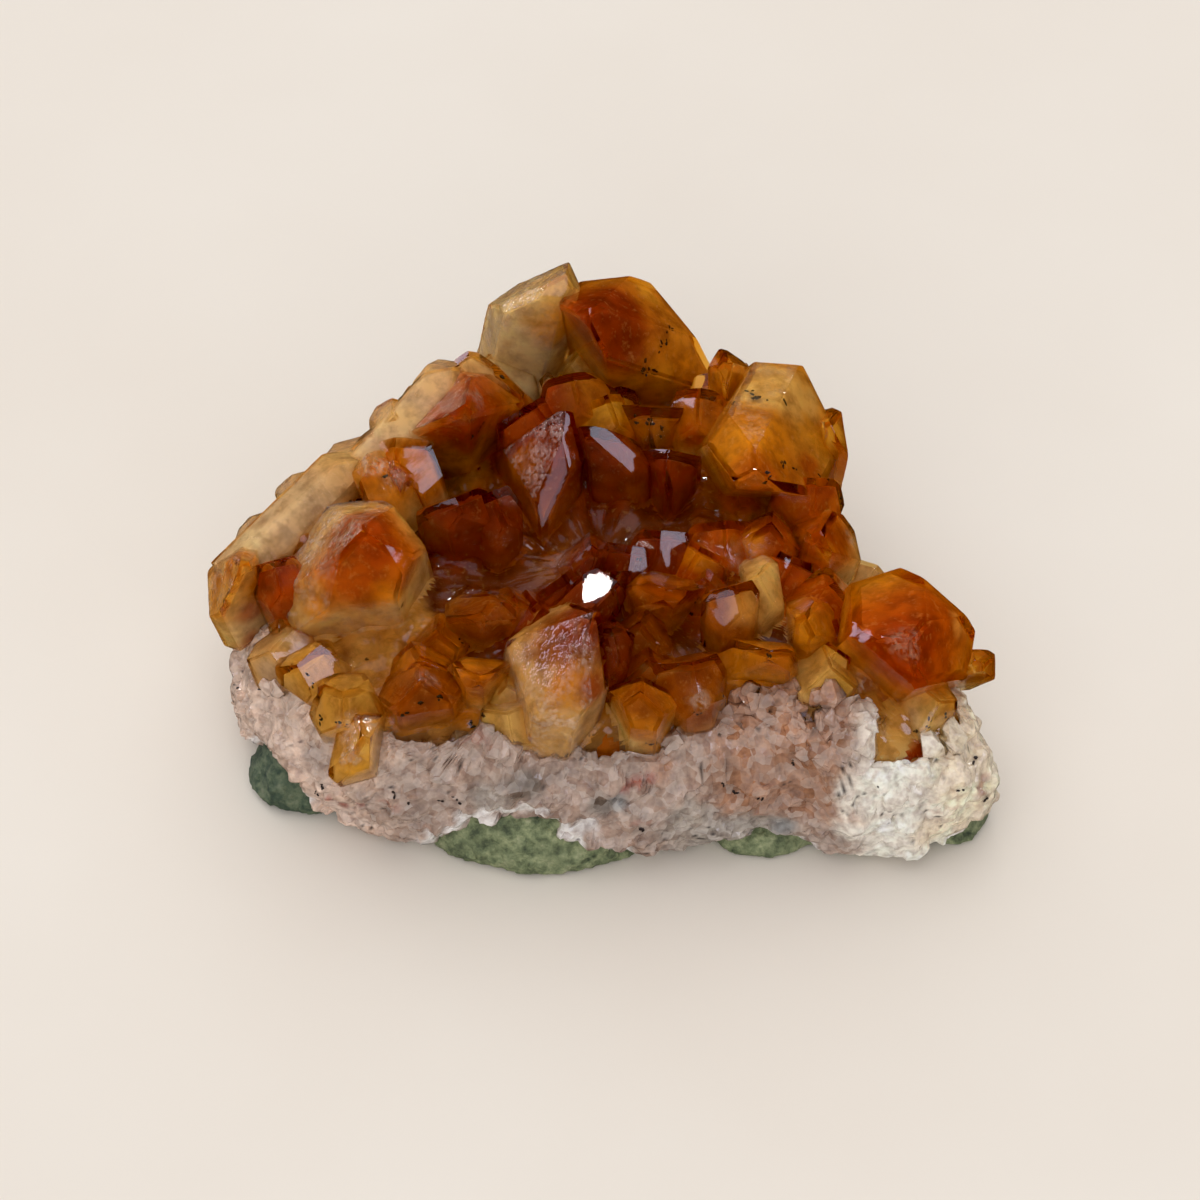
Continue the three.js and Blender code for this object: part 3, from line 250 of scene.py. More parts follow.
    ["y4", [-41.9, 1.2, 25], [-9, -12, 28], [0, 0.9, 0.1, 1.1, 0, 0.8], [3.4, 3, 3.6, 3.2, 3, 3.3], 14.5, "pale"],
    ["y5", [-17.2, 24.8, 30.2], [-13, -8, 5], [0, 0.9, 0.1, 1.1, 0, 0.8], [3.4, 3, 3.6, 3.2, 3, 3.3], 20, "pale"],
    ["y6", [-16.5, 25.2, 29.2], [68, 71, 20], [0, 1, 0, 1, 0, 1], [3.3, 3, 3.4, 3, 3.2, 3.1], 21, "pale"],
    ["y7", [-28.2, 13.4, 26.6], [69, 69, 45], [0, 1, 0, 1, 0, 1], [3.2, 3.3, 3.2, 3.4, 3.2, 3.1], 23, "pale"],
]

# Places where the colour inside the crystals changes: tone, place, radius (mm, part frame).
MARKS = [
    ("gold2", [5, 22.0, 20.6], 4.4),
    ("gold2", [0, 16.1, 26.2], 3.0),
    ("gold2", [-2.4, 15.5, 29.6], 1.3),
    ("gold", [11.2, 23.2, 23.9], 1.8),
    ("gold2", [6, 31.2, 29.9], 1.4),
    ("dkred", [3, 21.4, 33.3], 4.4),
    ("dkred", [2.7, 26.7, 33.8], 2.4),
    ("red", [0, 18.1, 33.2], 1.7),
    ("brown", [-3.6, 14.5, 29.1], 1.4),
    ("pale", [-11.2, 25.9, 21.8], 4.4),
    ("gold", [-5.4, 26.6, 29.3], 2.9),
    ("gold2", [-8.6, 27.3, 31.6], 1.6),
    ("pale", [-11.8, 27.0, 26.8], 3.0),
    ("pale", [-9.8, 27.6, 32.5], 2.4),
    ("pale", [-13.4, 28.4, 26], 1.9),
    ("palek", [21.3, 15.1, 30.2], 4.1),
    ("palek", [25.9, 16.4, 26.5], 1.9),
    ("palek", [17.6, 14.6, 30.8], 1.7),
    ("gold", [20.9, 6.1, 31.7], 3.1),
    ("gold", [15.3, 4.2, 32.3], 2.7),
    ("orange", [18.9, -2.1, 31.9], 2.9),
    ("orange", [16.8, 4.9, 20.1], 1.9),
    ("red", [20.7, 2.3, 24], 1.4),
    ("gold2", [27.1, 11.3, 24.8], 1.4),
    ("orange", [26, 5.4, 25.7], 1.7),
    ("red", [-16.8, 7.5, 30.1], 2.9),
    ("dkred", [-15.7, 8.2, 27], 1.7),
    ("gold", [-23.1, 5.9, 30.5], 2.1),
    ("gold", [-20.4, 3.4, 27.5], 2.2),
    ("orange", [-10.7, 11.4, 26.2], 2.9),
    ("gold", [-9.7, 6, 26.4], 2.4),
    ("brown", [-15.6, 8.9, 34.2], 1.7),
    ("redw", [34.8, -28.2, 32.4], 4.8),
    ("gold2", [29.1, -25.7, 22], 1.9),
    ("beige", [31.1, -25.8, 19.4], 1.2),
    ("gold", [41, -24.4, 19.9], 2.2),
    ("beige", [42.2, -20.4, 26.9], 1.3),
    ("gold", [33.9, -14.5, 28.9], 1.2),
    ("gold2", [27.9, -20.5, 23], 1.2),
    ("gold2", [43.7, -23.1, 23.4], 1.7),
    ("dkred", [-31.0, -9.5, 33.5], 5.0),
    ("red", [-25, -11.9, 33.6], 2.4),
    ("red", [-25.8, -14.7, 32.4], 1.9),
    ("orange", [-29.3, -15.9, 29.9], 2.7),
    ("gold", [-34.1, -16, 24.9], 1.4),
    ("gold", [-25.1, -16.8, 27.7], 1.3),
    ("beige", [-27.2, -17.9, 19.7], 3.1),
    ("beige", [-22.5, -14, 20.3], 1.9),
    ("beige", [-36, -16.9, 21.5], 1.7),
    ("orange", [-41.3, -11.9, 19.6], 1.2),
    ("orange", [-41.8, -11.9, 13.9], 1.2),
    ("beige", [-44.6, -13.4, 23.6], 2.2),
    ("beige", [-41.7, -11.4, 28.6], 1.9),
    ("beige", [-37.6, 2.8, 21.2], 2.7),
    ("beige", [-30.8, 5.7, 25.3], 2.7),
    ("beige", [-24.2, 10.7, 27.8], 2.4),
    ("beige", [-20.5, 16, 27.9], 2.2),
    ("pale", [-41.2, -4.8, 23.6], 1.4),
    ("gold2", [-34.4, 2.6, 24.3], 1.0),
    ("dkred", [-15.5, -6.2, 24.3], 2.9),
    ("dkred", [-19.2, -5.6, 21.7], 1.9),
    ("orange", [-12.2, -6.8, 25.8], 1.0),
    ("brown", [-14.2, -20.5, 26.2], 2.7),
    ("olive", [-4.8, -6.7, 22.6], 2.7),
    ("dkred", [0, 3.8, 22], 2.7),
    ("dkred", [-3, -10.1, 26.1], 2.4),
    ("dkred", [8.1, 1.5, 28.2], 2.9),
    ("red", [11, 11.7, 24.1], 1.4),
    ("orange", [13.7, -5.1, 24.9], 1.9),
    ("gold", [17.3, -5.7, 25.5], 1.4),
    ("beige", [18.7, -14.6, 28.3], 1.9),
    ("beige", [18.3, -17.9, 28.1], 2.2),
    ("gold", [16.9, -23.1, 25.2], 1.7),
    ("orange", [25.4, -7.8, 27.9], 2.2),
    ("gold", [28, -8, 26], 1.1),
    ("orange", [25.9, -14, 26.1], 1.8),
    ("gold", [24.2, -21.8, 26.4], 2.7),
    ("beige", [29.1, -21, 21.3], 1.2),
    ("brown", [8.4, -17.6, 28.6], 2.9),
    ("dkred", [11.8, -15.2, 20.6], 1.7),
    ("gold", [17.5, -24.6, 20.2], 2.4),
    ("olive", [17.4, -24.5, 24.6], 1.3),
    ("gold", [-4, -29.9, 26.8], 2.2),
    ("beige", [-8.4, -29.1, 20.3], 2.2),
    ("beige", [-3.3, -31, 18.9], 2.2),
    ("brown", [-5.5, -22.8, 29.8], 4.4),
    ("dkred", [-1.5, -22.6, 31.1], 3.6),
    ("dkred", [-0.3, -29.6, 26.8], 1.4),
    ("brown", [-21.4, -29.4, 23.8], 2.2),
    ("gold2", [-28.4, -34.6, 17.9], 1.6),
    ("beige", [-28.9, -31.9, 20.9], 1.6),
    ("brown", [4.6, -31.1, 26.8], 2.2),
    ("gold", [7.2, -29.8, 17.4], 1.6),
    ("olive", [11.5, -30.2, 24.6], 1.3),
    ("brown", [-13.8, -28.7, 25.6], 1.7),
    ("gold", [-15.4, -26.9, 18.6], 1.1),
    ("olive", [6.1, 10.9, 28.2], 1.9),
    ("gold", [15.1, 17, 29.5], 1.4),
    ("olive", [7, -19.2, 24.7], 1.2),
    ("pinkq", [19.8, -29.6, 18.5], 3.4),
    ("pinkq", [24.8, -27.7, 18.5], 2.2),
    ("pinkq", [14.2, -28.6, 18.5], 1.9),
    ("pinkq", [10.4, -32.2, 18.5], 1.7),
    ("lavq", [-16.3, -31.1, 18.5], 2.4),
    ("lavq", [-19.7, -33.6, 18.5], 1.9),
    ("lavq", [-11.6, -32.9, 18.5], 1.7),
    ("lavq", [-35.3, -22.6, 18.5], 1.9),
    ("lavq", [-38.9, -21.4, 18.5], 1.7),
    ("lavq", [-31.4, -24.7, 18.5], 1.3),
    ("paleq", [32.6, -30.7, 18.5], 1.9),
    ("paleq", [35.6, -28.6, 18.5], 1.5),
    ("paleq", [2.3, -33.3, 18.5], 1.5),
    ("gold", [11.9, -7.5, 24.0], 1.2),
]
TONES = {
    "pinkq": (0.80, 0.520, 0.340),
    "lavq": (0.74, 0.560, 0.420),
    "paleq": (0.92, 0.740, 0.500),
    "gold": (0.88, 0.430, 0.036),
    "gold2": (0.95, 0.590, 0.100),
    "dkred": (0.34, 0.050, 0.006),
    "brown": (0.40, 0.120, 0.012),
    "beige": (0.95, 0.680, 0.320),
    "pale": (0.97, 0.800, 0.520),
    "palek": (0.95, 0.760, 0.500),
    "orange": (0.60, 0.150, 0.012),
    "red": (0.54, 0.100, 0.008),
    "redw": (0.47, 0.080, 0.007),
    "olive": (0.46, 0.180, 0.020),
}
# Patches etched to a sugary frost: how much, place, radius.
ETCHED = [
    (0.45, [-5.8, -26.7, 28], 3.0),
    (0.7, [-8.4, -26.2, 22.6], 1.9),
    (0.9, [-2.5, -27.4, 30.5], 1.7),
    (0.8, [-4, -31.1, 23.1], 1.7),
    (1.0, [-12.4, 27.9, 29.4], 1.7),
    (1.0, [-9.9, 29, 32], 1.7),
    (0.9, [-14.1, 29.3, 24], 1.3),
    (0.9, [-17.2, 10.4, 33], 2.1),
    (1.0, [-26.7, 2.8, 30.7], 1.6),
    (0.7, [-24.2, 0.1, 30.1], 1.2),
    (0.7, [-28.9, -31.6, 21], 1.6),
    (0.6, [-28.9, -34.1, 20.1], 1.2),
    (0.8, [-26.4, -30.3, 21.7], 1.1),
    (0.5, [-36.2, 2.4, 24.1], 1.7),
    (0.6, [-42.6, -0.9, 20], 1.2),
    (0.5, [34.7, -27.8, 33.6], 1.9),
    (0.6, [31.1, -23.8, 19.6], 1.2),
    (0.7, [-19.6, -27.4, 25.9], 1.0),
    (0.6, [11.5, -29.9, 25.4], 1.4),
    (0.6, [30, -2.8, 22.1], 1.0),
    (0.6, [17.3, -6.2, 23.3], 1.7),
]
# Colour zones of the quartz that are narrower than its broad ones: tone, place, radius.
QUARTZ_MARKS = [
    ("white", [30.6, -33.5, 13], 3.6),
    ("white", [34, -31.8, 16.5], 2.9),
    ("white", [29.4, -35.6, 7.6], 2.2),
    ("white", [35.6, -30.2, 17.3], 1.7),
    ("beige", [40.9, -30.8, 15.3], 3.1),
    ("beige", [43.9, -32.6, 7.5], 2.4),
    ("beige", [38.9, -34.6, 6.2], 2.4),
    ("pink", [19.9, -29.1, 16.9], 4.4),
    ("pink", [14, -28.3, 17.4], 3.1),
    ("pink", [25.9, -31.8, 16.1], 2.4),
    ("pink", [7, -32.2, 15.2], 1.7),
    ("grey", [10.6, -35, 8.8], 3.1),
    ("grey", [16.8, -33.8, 5.2], 2.7),
    ("bluegrey", [21.5, -33.6, 6.1], 1.7),
    ("bluegrey", [2.3, -34.4, 11.9], 1.2),
    ("grey", [-12.9, -33.7, 11], 2.2),
    ("dark", [-8.8, -33.7, 13.7], 2.4),
    ("dark", [0, -34.2, 11], 1.4),
    ("lav", [-21.1, -32.6, 11.9], 3.6),
    ("lav", [-26.6, -32, 7.9], 2.7),
    ("lav", [-33.3, -28.2, 11.9], 2.4),
    ("mauve", [-30.4, -30.4, 4], 2.2),
    ("left", [-40.3, -19.8, 12.7], 2.9),
    ("left", [-37.3, -25.9, 11.8], 1.9),
    ("red", [2.9, -33.4, 13.6], 0.7),
    ("red", [4.4, -33.1, 14.2], 0.7),
    ("red", [5.8, -33, 14.4], 0.7),
    ("red", [-32, -30.4, 6.8], 0.6),
    ("red", [-30.3, -30.3, 6.1], 0.6),
    ("red", [-28.4, -31.9, 7.8], 0.6),
]
# Clusters of dark inclusions: how many, place, radius, outward direction, 1 where it is in the quartz.
SPECKS = [
    (5, [7.8, 23.3, 28.7], 1.1, [0.7, -0.5, 0.5], 0),
    (6, [6.1, 20.1, 27.7], 1.1, [0.7, -0.5, 0.5], 0),
    (3, [8.9, 25.1, 29], 0.7, [0.7, -0.4, 0.5], 0),
    (3, [6.8, 20.2, 26.6], 0.6, [0.1, -0.9, -0.3], 0),
    (3, [4.4, 12.1, 27.2], 0.6, [-0.7, -0.5, 0.5], 0),
    (3, [5.8, 10.9, 28], 0.6, [-0.6, -0.5, 0.6], 0),
    (4, [7.3, 10.9, 26.8], 0.7, [0.7, -0.5, 0.6], 0),
    (5, [22.1, 2.4, 30], 0.8, [0.8, -0.0, 0.7], 0),
    (5, [19.5, -2.1, 32.2], 0.8, [0.1, -1.0, 0.1], 0),
    (2, [23.6, 3.1, 28.2], 0.5, [0.8, -0.1, 0.7], 0),
    (5, [19.3, 12, 31.3], 1.0, [0.1, 0.3, 1.0], 0),
    (3, [18.2, 13.5, 31], 0.6, [0.1, 0.3, 0.9], 0),
    (2, [16.3, 10.7, 31.9], 0.5, [-0.0, 0.3, 0.9], 0),
    (2, [22.4, 12.4, 30.4], 0.4, [0.8, -0.1, 0.7], 0),
    (4, [-14.3, 9.6, 28.7], 0.7, [0.8, -0.6, -0.1], 0),
    (2, [-16, 7.8, 28.3], 0.5, [-0.1, -1.0, -0.2], 0),
    (2, [-12.3, 20, 25.9], 0.5, [-0.1, -0.6, 0.8], 0),
    (2, [-23, -15.3, 25.1], 0.4, [0.9, -0.4, 0.0], 0),
    (2, [-27.6, -19.2, 19.5], 0.4, [-0.0, -0.2, 1.0], 0),
    (2, [-15.3, -18.6, 20.6], 0.4, [0.9, -0.5, -0.0], 0),
    (2, [-16.2, -18.5, 22.4], 0.4, [0.6, 0.2, 0.8], 0),
    (3, [-7.8, -6.3, 20.4], 0.5, [-0.1, -0.1, 1.0], 0),
    (2, [-8.6, -4.8, 20.8], 0.4, [-0.1, -0.5, 0.9], 0),
    (5, [12, -18.4, 21.4], 0.8, [-0.7, -0.7, -0.0], 0),
    (3, [11.6, -13.7, 23.9], 0.5, [0.8, -0.6, -0.2], 0),
    (2, [10.9, -14.3, 22.4], 0.4, [-0.1, -0.8, 0.6], 0),
    (2, [19.6, -25, 27.5], 0.5, [0.5, -0.6, 0.7], 0),
    (2, [15.8, -25.1, 19.3], 0.5, [-0.1, -0.4, 0.9], 0),
    (3, [14.2, -27.5, 21.5], 0.6, [0.7, -0.7, -0.2], 0),
    (2, [11.5, -30.2, 23], 0.4, [0.2, -1.0, -0.1], 0),
    (3, [-20.8, -29.2, 24.4], 0.6, [0.1, -1.0, 0.3], 0),
    (3, [-18.8, -29, 24.2], 0.5, [0.1, -0.9, 0.3], 0),
    (2, [-22.5, -29.9, 22.6], 0.5, [0.1, -1.0, 0.2], 0),
    (2, [4.7, -9, 25.7], 0.5, [0.5, -0.6, 0.6], 0),
    (2, [6.7, 1.4, 20.1], 0.4, [-0.1, 0.2, 1.0], 0),
    (2, [26.6, 5.2, 24.9], 0.5, [0.8, -0.1, 0.6], 0),
    (2, [29.3, 3.3, 22.6], 0.4, [0.8, -0.3, 0.4], 0),
    (2, [21.9, -2.2, 25.2], 0.4, [0.8, 0.2, 0.6], 0),
    (2, [22.3, -19.1, 23.1], 0.4, [-1.0, -0.1, 0.1], 0),
    (2, [-25.6, 0.8, 29.8], 0.4, [0.3, -0.4, 0.9], 0),
    (2, [-38.2, -20.8, 20], 0.4, [-0.6, -0.8, 0.1], 0),
    (2, [-36.2, -24.1, 23.4], 0.4, [-0.7, -0.7, 0.2], 0),
    (2, [-34.5, -25.3, 23.7], 0.4, [-0.6, -0.8, 0.2], 0),
    (2, [-33.4, -25.6, 22.9], 0.4, [0.6, -0.5, 0.7], 0),
    (2, [-43.3, -15.6, 10.1], 0.4, [-0.6, -0.3, 0.8], 1),
    (2, [-41.8, -18.3, 13.2], 0.4, [-0.8, -0.4, 0.4], 1),
    (2, [-40.2, -19.4, 13.9], 0.4, [-0.1, -0.8, 0.6], 1),
    (4, [-32.6, -28.4, 19.4], 0.7, [-0.7, -0.6, 0.4], 0),
    (4, [-30, -30.6, 21.2], 0.6, [-0.1, -0.9, -0.3], 0),
    (4, [-32.9, -29.8, 9.1], 0.6, [-0.8, -0.3, 0.6], 1),
    (3, [-33.8, -28.9, 6.6], 0.5, [-0.9, -0.5, 0.2], 1),
    (3, [-17, -33.2, 11.3], 0.5, [-0.2, -1.0, 0.1], 1),
    (4, [-16, -33.5, 10.4], 0.6, [0.1, -0.9, -0.3], 1),
    (3, [-17.3, -32.2, 14], 0.5, [-0.1, -0.9, 0.4], 1),
    (2, [-15.9, -31.7, 14.5], 0.4, [-0.4, -0.9, 0.1], 1),
    (2, [-15.2, -28, 18.3], 0.4, [-0.1, -0.7, 0.7], 0),
    (2, [-14, -28.1, 19.8], 0.4, [-0.7, -0.6, 0.4], 0),
    (3, [-2.3, -30.9, 15.7], 0.5, [-0.1, -0.3, 0.9], 1),
    (2, [-18.8, -33.1, 10.6], 0.4, [-0.0, -1.0, 0.3], 1),
    (2, [-22.3, -33.6, 10.3], 0.4, [-0.3, -0.3, 0.9], 1),
    (2, [-24.1, -32.9, 11.2], 0.4, [-0.3, -0.6, 0.8], 1),
    (3, [31.5, -28.3, 19.2], 0.6, [-0.3, 0.3, 0.9], 0),
    (3, [29.8, -26.2, 19.6], 0.5, [0.1, -0.1, 1.0], 0),
    (3, [38.4, -28.8, 19.5], 0.6, [0.6, -0.8, 0.2], 0),
    (3, [41.6, -27.3, 16.9], 0.5, [0.5, -0.1, 0.9], 0),
    (3, [40.3, -27.4, 18.8], 0.5, [0.6, -0.8, 0.1], 0),
    (2, [43.6, -22.3, 13.6], 0.5, [0.8, -0.2, 0.6], 1),
    (3, [11.7, -29.6, 16.6], 0.5, [0.6, 0.1, 0.8], 1),
    (2, [10.5, -29.6, 17.9], 0.4, [0.2, -1.0, -0.2], 0),
    (3, [22.4, -31.4, 15.6], 0.5, [0.2, -0.9, 0.3], 1),
    (4, [15.8, -32.8, 12.1], 0.5, [0.2, -0.7, 0.7], 1),
    (3, [14.3, -32.5, 12.9], 0.4, [-0.5, -0.8, 0.4], 1),
    (2, [17, -31.4, 14.1], 0.4, [0.0, -1.0, 0.3], 1),
    (2, [10.5, -32.1, 15], 0.4, [-0.4, -0.6, 0.7], 1),
    (2, [5.8, -31.3, 18.8], 0.4, [-0.1, -1.0, -0.2], 0),
    (2, [3.5, -34.5, 12.4], 0.4, [0.1, -1.0, 0.1], 1),
    (2, [4.7, -36.1, 8.7], 0.4, [0.1, -0.8, 0.6], 1),
    (2, [-4.7, -34.2, 12], 0.4, [-0.0, -1.0, 0.1], 1),
    (3, [36.7, -29.1, 17.8], 0.5, [-0.6, -0.6, 0.6], 0),
    (3, [44, -29.7, 13.8], 0.5, [0.8, -0.3, 0.6], 1),
    (2, [42.1, -33.4, 12.8], 0.4, [0.3, -1.0, -0.0], 1),
    (2, [45.3, -32.3, 9.5], 0.4, [0.6, -0.8, -0.1], 1),
    (2, [32.7, -33.7, 14.2], 0.4, [0.1, -0.7, 0.8], 1),
    (2, [35.3, -35, 8.2], 0.4, [0.2, -0.8, 0.5], 1),
    (2, [18.8, -33.1, 10.6], 0.4, [0.0, -1.0, 0.1], 1),
    (2, [24.6, -32.7, 12], 0.4, [-0.2, -0.6, 0.8], 1),
    (2, [28, -32.6, 15.7], 0.4, [-0.1, -0.3, 0.9], 1),
]


# ---- noise --------------------------------------------------------------
def _hash(ix, iy, iz, seed):
    h = (ix * 73856093) ^ (iy * 19349663) ^ (iz * 83492791) ^ (seed * 668265263)
    h = h & 0xFFFFFFFF
    h = ((h ^ (h >> 15)) * 2246822519) & 0xFFFFFFFF
    h = ((h ^ (h >> 13)) * 3266489917) & 0xFFFFFFFF
    h = h ^ (h >> 16)
    return h.astype(np.float64) / 4294967295.0 * 2.0 - 1.0


def vn(p, seed=0):
    """Smooth value noise in -1..1 at the points p (N, 3)."""
    i = np.floor(p).astype(np.int64)
    f = p - i
    u = f * f * f * (f * (f * 6 - 15) + 10)
    out = 0
    for dx in (0, 1):
        wx = u[:, 0] if dx else 1 - u[:, 0]
        for dy in (0, 1):
            wy = u[:, 1] if dy else 1 - u[:, 1]
            for dz in (0, 1):
                wz = u[:, 2] if dz else 1 - u[:, 2]
                out = out + wx * wy * wz * _hash(i[:, 0] + dx, i[:, 1] + dy, i[:, 2] + dz, seed)
    return out


def fbm(p, octaves=3, seed=0):
    s, a, t = 0, 1.0, 0
    for o in range(octaves):
        s = s + a * vn(p * (2.03 ** o), seed + 17 * o)
        t += a
        a *= 0.5
    return s / t


def cells(p, seed=0):
    """Nearest and second nearest cell seed: distances, the nearest seed's place and random values."""
    base = np.floor(p).astype(np.int64)
    best = np.full(len(p), 1e9)
    second = np.full(len(p), 1e9)
    place = np.zeros_like(p)
    rnd = np.zeros((len(p), 3))
    for dx in (-1, 0, 1):
        for dy in (-1, 0, 1):
            for dz in (-1, 0, 1):
                c = base + np.array([dx, dy, dz])
                j = np.stack([_hash(c[:, 0], c[:, 1], c[:, 2], seed + k) for k in (1, 2, 3)], 1)
                s = c + 0.5 + 0.42 * j
                d = np.linalg.norm(p - s, axis=1)
                near = d < best
                second = np.where(near, best, np.minimum(second, d))
                place[near] = s[near]
                r = np.stack([_hash(c[:, 0], c[:, 1], c[:, 2], seed + k) for k in (4, 5, 6)], 1)
                rnd[near] = r[near]
                best = np.where(near, d, best)
    return best, second, place, rnd


# ---- crystals -----------------------------------------------------------
class Crystal:
    """The planes of one crystal, in mm in the part's frame."""

    def __init__(self, row, index):
        self.name, tip, lean, rh, pr, self.length, self.cls = row
        self.index = index
        self.tip = np.array(tip, float) + SHIFT
        z = np.array([math.tan(math.radians(lean[0])), math.tan(math.radians(lean[1])), 1.0])
        self.z = z / np.linalg.norm(z)
        x = np.cross([0, 1, 0], self.z)
        self.x = x / np.linalg.norm(x)
        self.y = np.cross(self.z, self.x)
        n, d, kind = [], [], []
        for k in range(6):
            a = math.radians(60 * k + lean[2])
            s = math.cos(a) * self.x + math.sin(a) * self.y
            if rh[k] < 9:
                n.append(s * math.sin(RHOMB) + self.z * math.cos(RHOMB))
                d.append(rh[k])
                kind.append(("r", k))
            n.append(s)
            d.append(pr[k])
            kind.append(("p", k))
        n.append(-self.z)
        d.append(self.length)
        kind.append(("root", 0))
        self.n, self.d, self.kind = np.array(n), np.array(d), kind
        self.frost = np.array([FROST.get((self.name, a + str(b)), 0.0) for a, b in kind])

    def level(self, p):
        """How far each point is outside each plane."""
        return (p - self.tip) @ self.n.T - self.d


def polygons(n, d):
    """The faces of the convex solid n.p <= d: a list of (plane, ordered corners)."""
    m = len(n)
    pts, on = [], []
    for i in range(m):
        for j in range(i + 1, m):
            c = np.cross(n[i], n[j])
            if np.dot(c, c) < 1e-8:
                continue
            a, b = np.cross(n[j], c), np.cross(c, n[i])
            k = np.arange(j + 1, m)
            det = n[k] @ c
            k, det = k[np.abs(det) > 1e-6], det[np.abs(det) > 1e-6]
            if not len(k):
                continue
            # where the planes i, j and k meet
            cr_jk = np.cross(n[j], n[k])
            cr_ki = np.cross(n[k], n[i])
            P = (d[k][:, None] * c + d[i] * cr_jk + d[j] * cr_ki) / det[:, None]
            good = np.all(P @ n.T <= d + 1e-6, axis=1)
            for p, kk in zip(P[good], k[good]):
                for q, s in zip(pts, on):
                    if np.sum((q - p) ** 2) < 0.0144:
                        s.update((i, j, kk))
                        break
                else:
                    pts.append(p)
                    on.append({i, j, kk})
    out = []
    for j in range(m):
        loop = np.array([p for p, s in zip(pts, on) if j in s])
        if len(loop) < 3:
            continue
        c = loop.mean(0)
        u = np.cross(n[j], [0.3, 0.8, 0.52])
        u /= np.linalg.norm(u)
        v = np.cross(n[j], u)
        a = np.arctan2((loop - c) @ v, (loop - c) @ u)
        out.append((j, loop[np.argsort(a)]))
    return out


def mesh_faces(n, d, step):
    """Vertices and triangles of the convex solid, each face with a fine even net. step(plane) in mm."""
    verts, index, tris = [], {}, []

    def key(p):
        p = p.tolist()
        k = (round(p[0] * 200), round(p[1] * 200), round(p[2] * 200))
        if k not in index:
            index[k] = len(verts)
            verts.append(p)
        return index[k]

    polys = polygons(n, d)
    edge_step = {}
    for j, loop in polys:
        for a, b in zip(loop, np.roll(loop, -1, 0)):
            k = tuple(sorted((tuple(np.round(a, 3)), tuple(np.round(b, 3)))))
            edge_step[k] = min(edge_step.get(k, 9), step(j))
    for j, loop in polys:
        c = loop.mean(0)
        u = np.cross(n[j], [0.3, 0.8, 0.52])
        u /= np.linalg.norm(u)
        v = np.cross(n[j], u)
        h = step(j)
        rim = []
        for a, b in zip(loop, np.roll(loop, -1, 0)):
            k = tuple(sorted((tuple(np.round(a, 3)), tuple(np.round(b, 3)))))
            L = np.linalg.norm(b - a)
            parts = max(1, int(round(L / edge_step[k])))
            lo, hi = (a, b) if tuple(a) < tuple(b) else (b, a)
            seg = [lo + (hi - lo) * t / parts for t in range(parts + 1)]
            if tuple(a) >= tuple(b):
                seg = seg[::-1]
            rim += seg[:-1]
        rim = np.array(rim)
        flat = np.stack([(rim - c) @ u, (rim - c) @ v], 1)
        lo, hi = flat.min(0), flat.max(0)
        inner = []
        row = 0
        y = lo[1] + h * 0.4
        edges = np.roll(flat, -1, 0) - flat
        lens = np.linalg.norm(edges, axis=1)
        ok = lens > 1e-6
        nrm = np.stack([-edges[ok, 1], edges[ok, 0]], 1) / lens[ok, None]
        org = flat[ok]
        while y < hi[1]:
            xs = np.arange(lo[0] + (row % 2) * h * 0.5, hi[0], h)
            if len(xs):
                q = np.stack([xs, np.full(len(xs), y)], 1)
                dist = np.einsum("ijk,jk->ij", q[:, None, :] - org[None], nrm).min(1)
                inner += [r for r in q[dist > h * 0.45]]
            y += h * 0.866
            row += 1
        pts = [Vector((float(a), float(b))) for a, b in flat] + [Vector((float(a), float(b))) for a, b in inner]
        nr = len(flat)
        res = geometry.delaunay_2d_cdt(pts, [(i, (i + 1) % nr) for i in range(nr)], [list(range(nr))], 1, 1e-5)
        ov, of, orig = res[0], res[2], res[3]
        ids = []
        for i, q in enumerate(ov):
            src = orig[i]
            if src and src[0] < nr:
                ids.append(key(rim[src[0]]))
            else:
                ids.append(key(np.array([c[0] + u[0] * q[0] + v[0] * q[1], c[1] + u[1] * q[0] + v[1] * q[1],
                                         c[2] + u[2] * q[0] + v[2] * q[1]])))
        for t in of:
            a, b, e = (ids[t[0]], ids[t[1]], ids[t[2]])
            if a == b or b == e or a == e:
                continue
            (ax, ay), (bx, by), (ex, ey) = ov[t[0]], ov[t[1]], ov[t[2]]
            if (bx - ax) * (ey - ay) < (by - ay) * (ex - ax):
                a, b = b, a
            tris.append((a, b, e))
    return np.array(verts), np.array(tris)


def etching(p):
    """How much the surface at the points p is etched to a sugary frost, where that isn't a whole face."""
    out = np.zeros(len(p))
    for amount, place, r in ETCHED:
        near = np.nonzero(np.abs(p - np.array(place)).max(1) < r * 1.6 + 0.8)[0]
        if len(near):
            q = p[near]
            d = np.linalg.norm(q - np.array(place), axis=1) / (r * 1.1 + 0.3) + 0.35 * vn(q / 1.6, 37)
            out[near] = np.maximum(out[near], amount * (1 - np.clip((d - 0.7) / 0.5, 0, 1)))
    return out


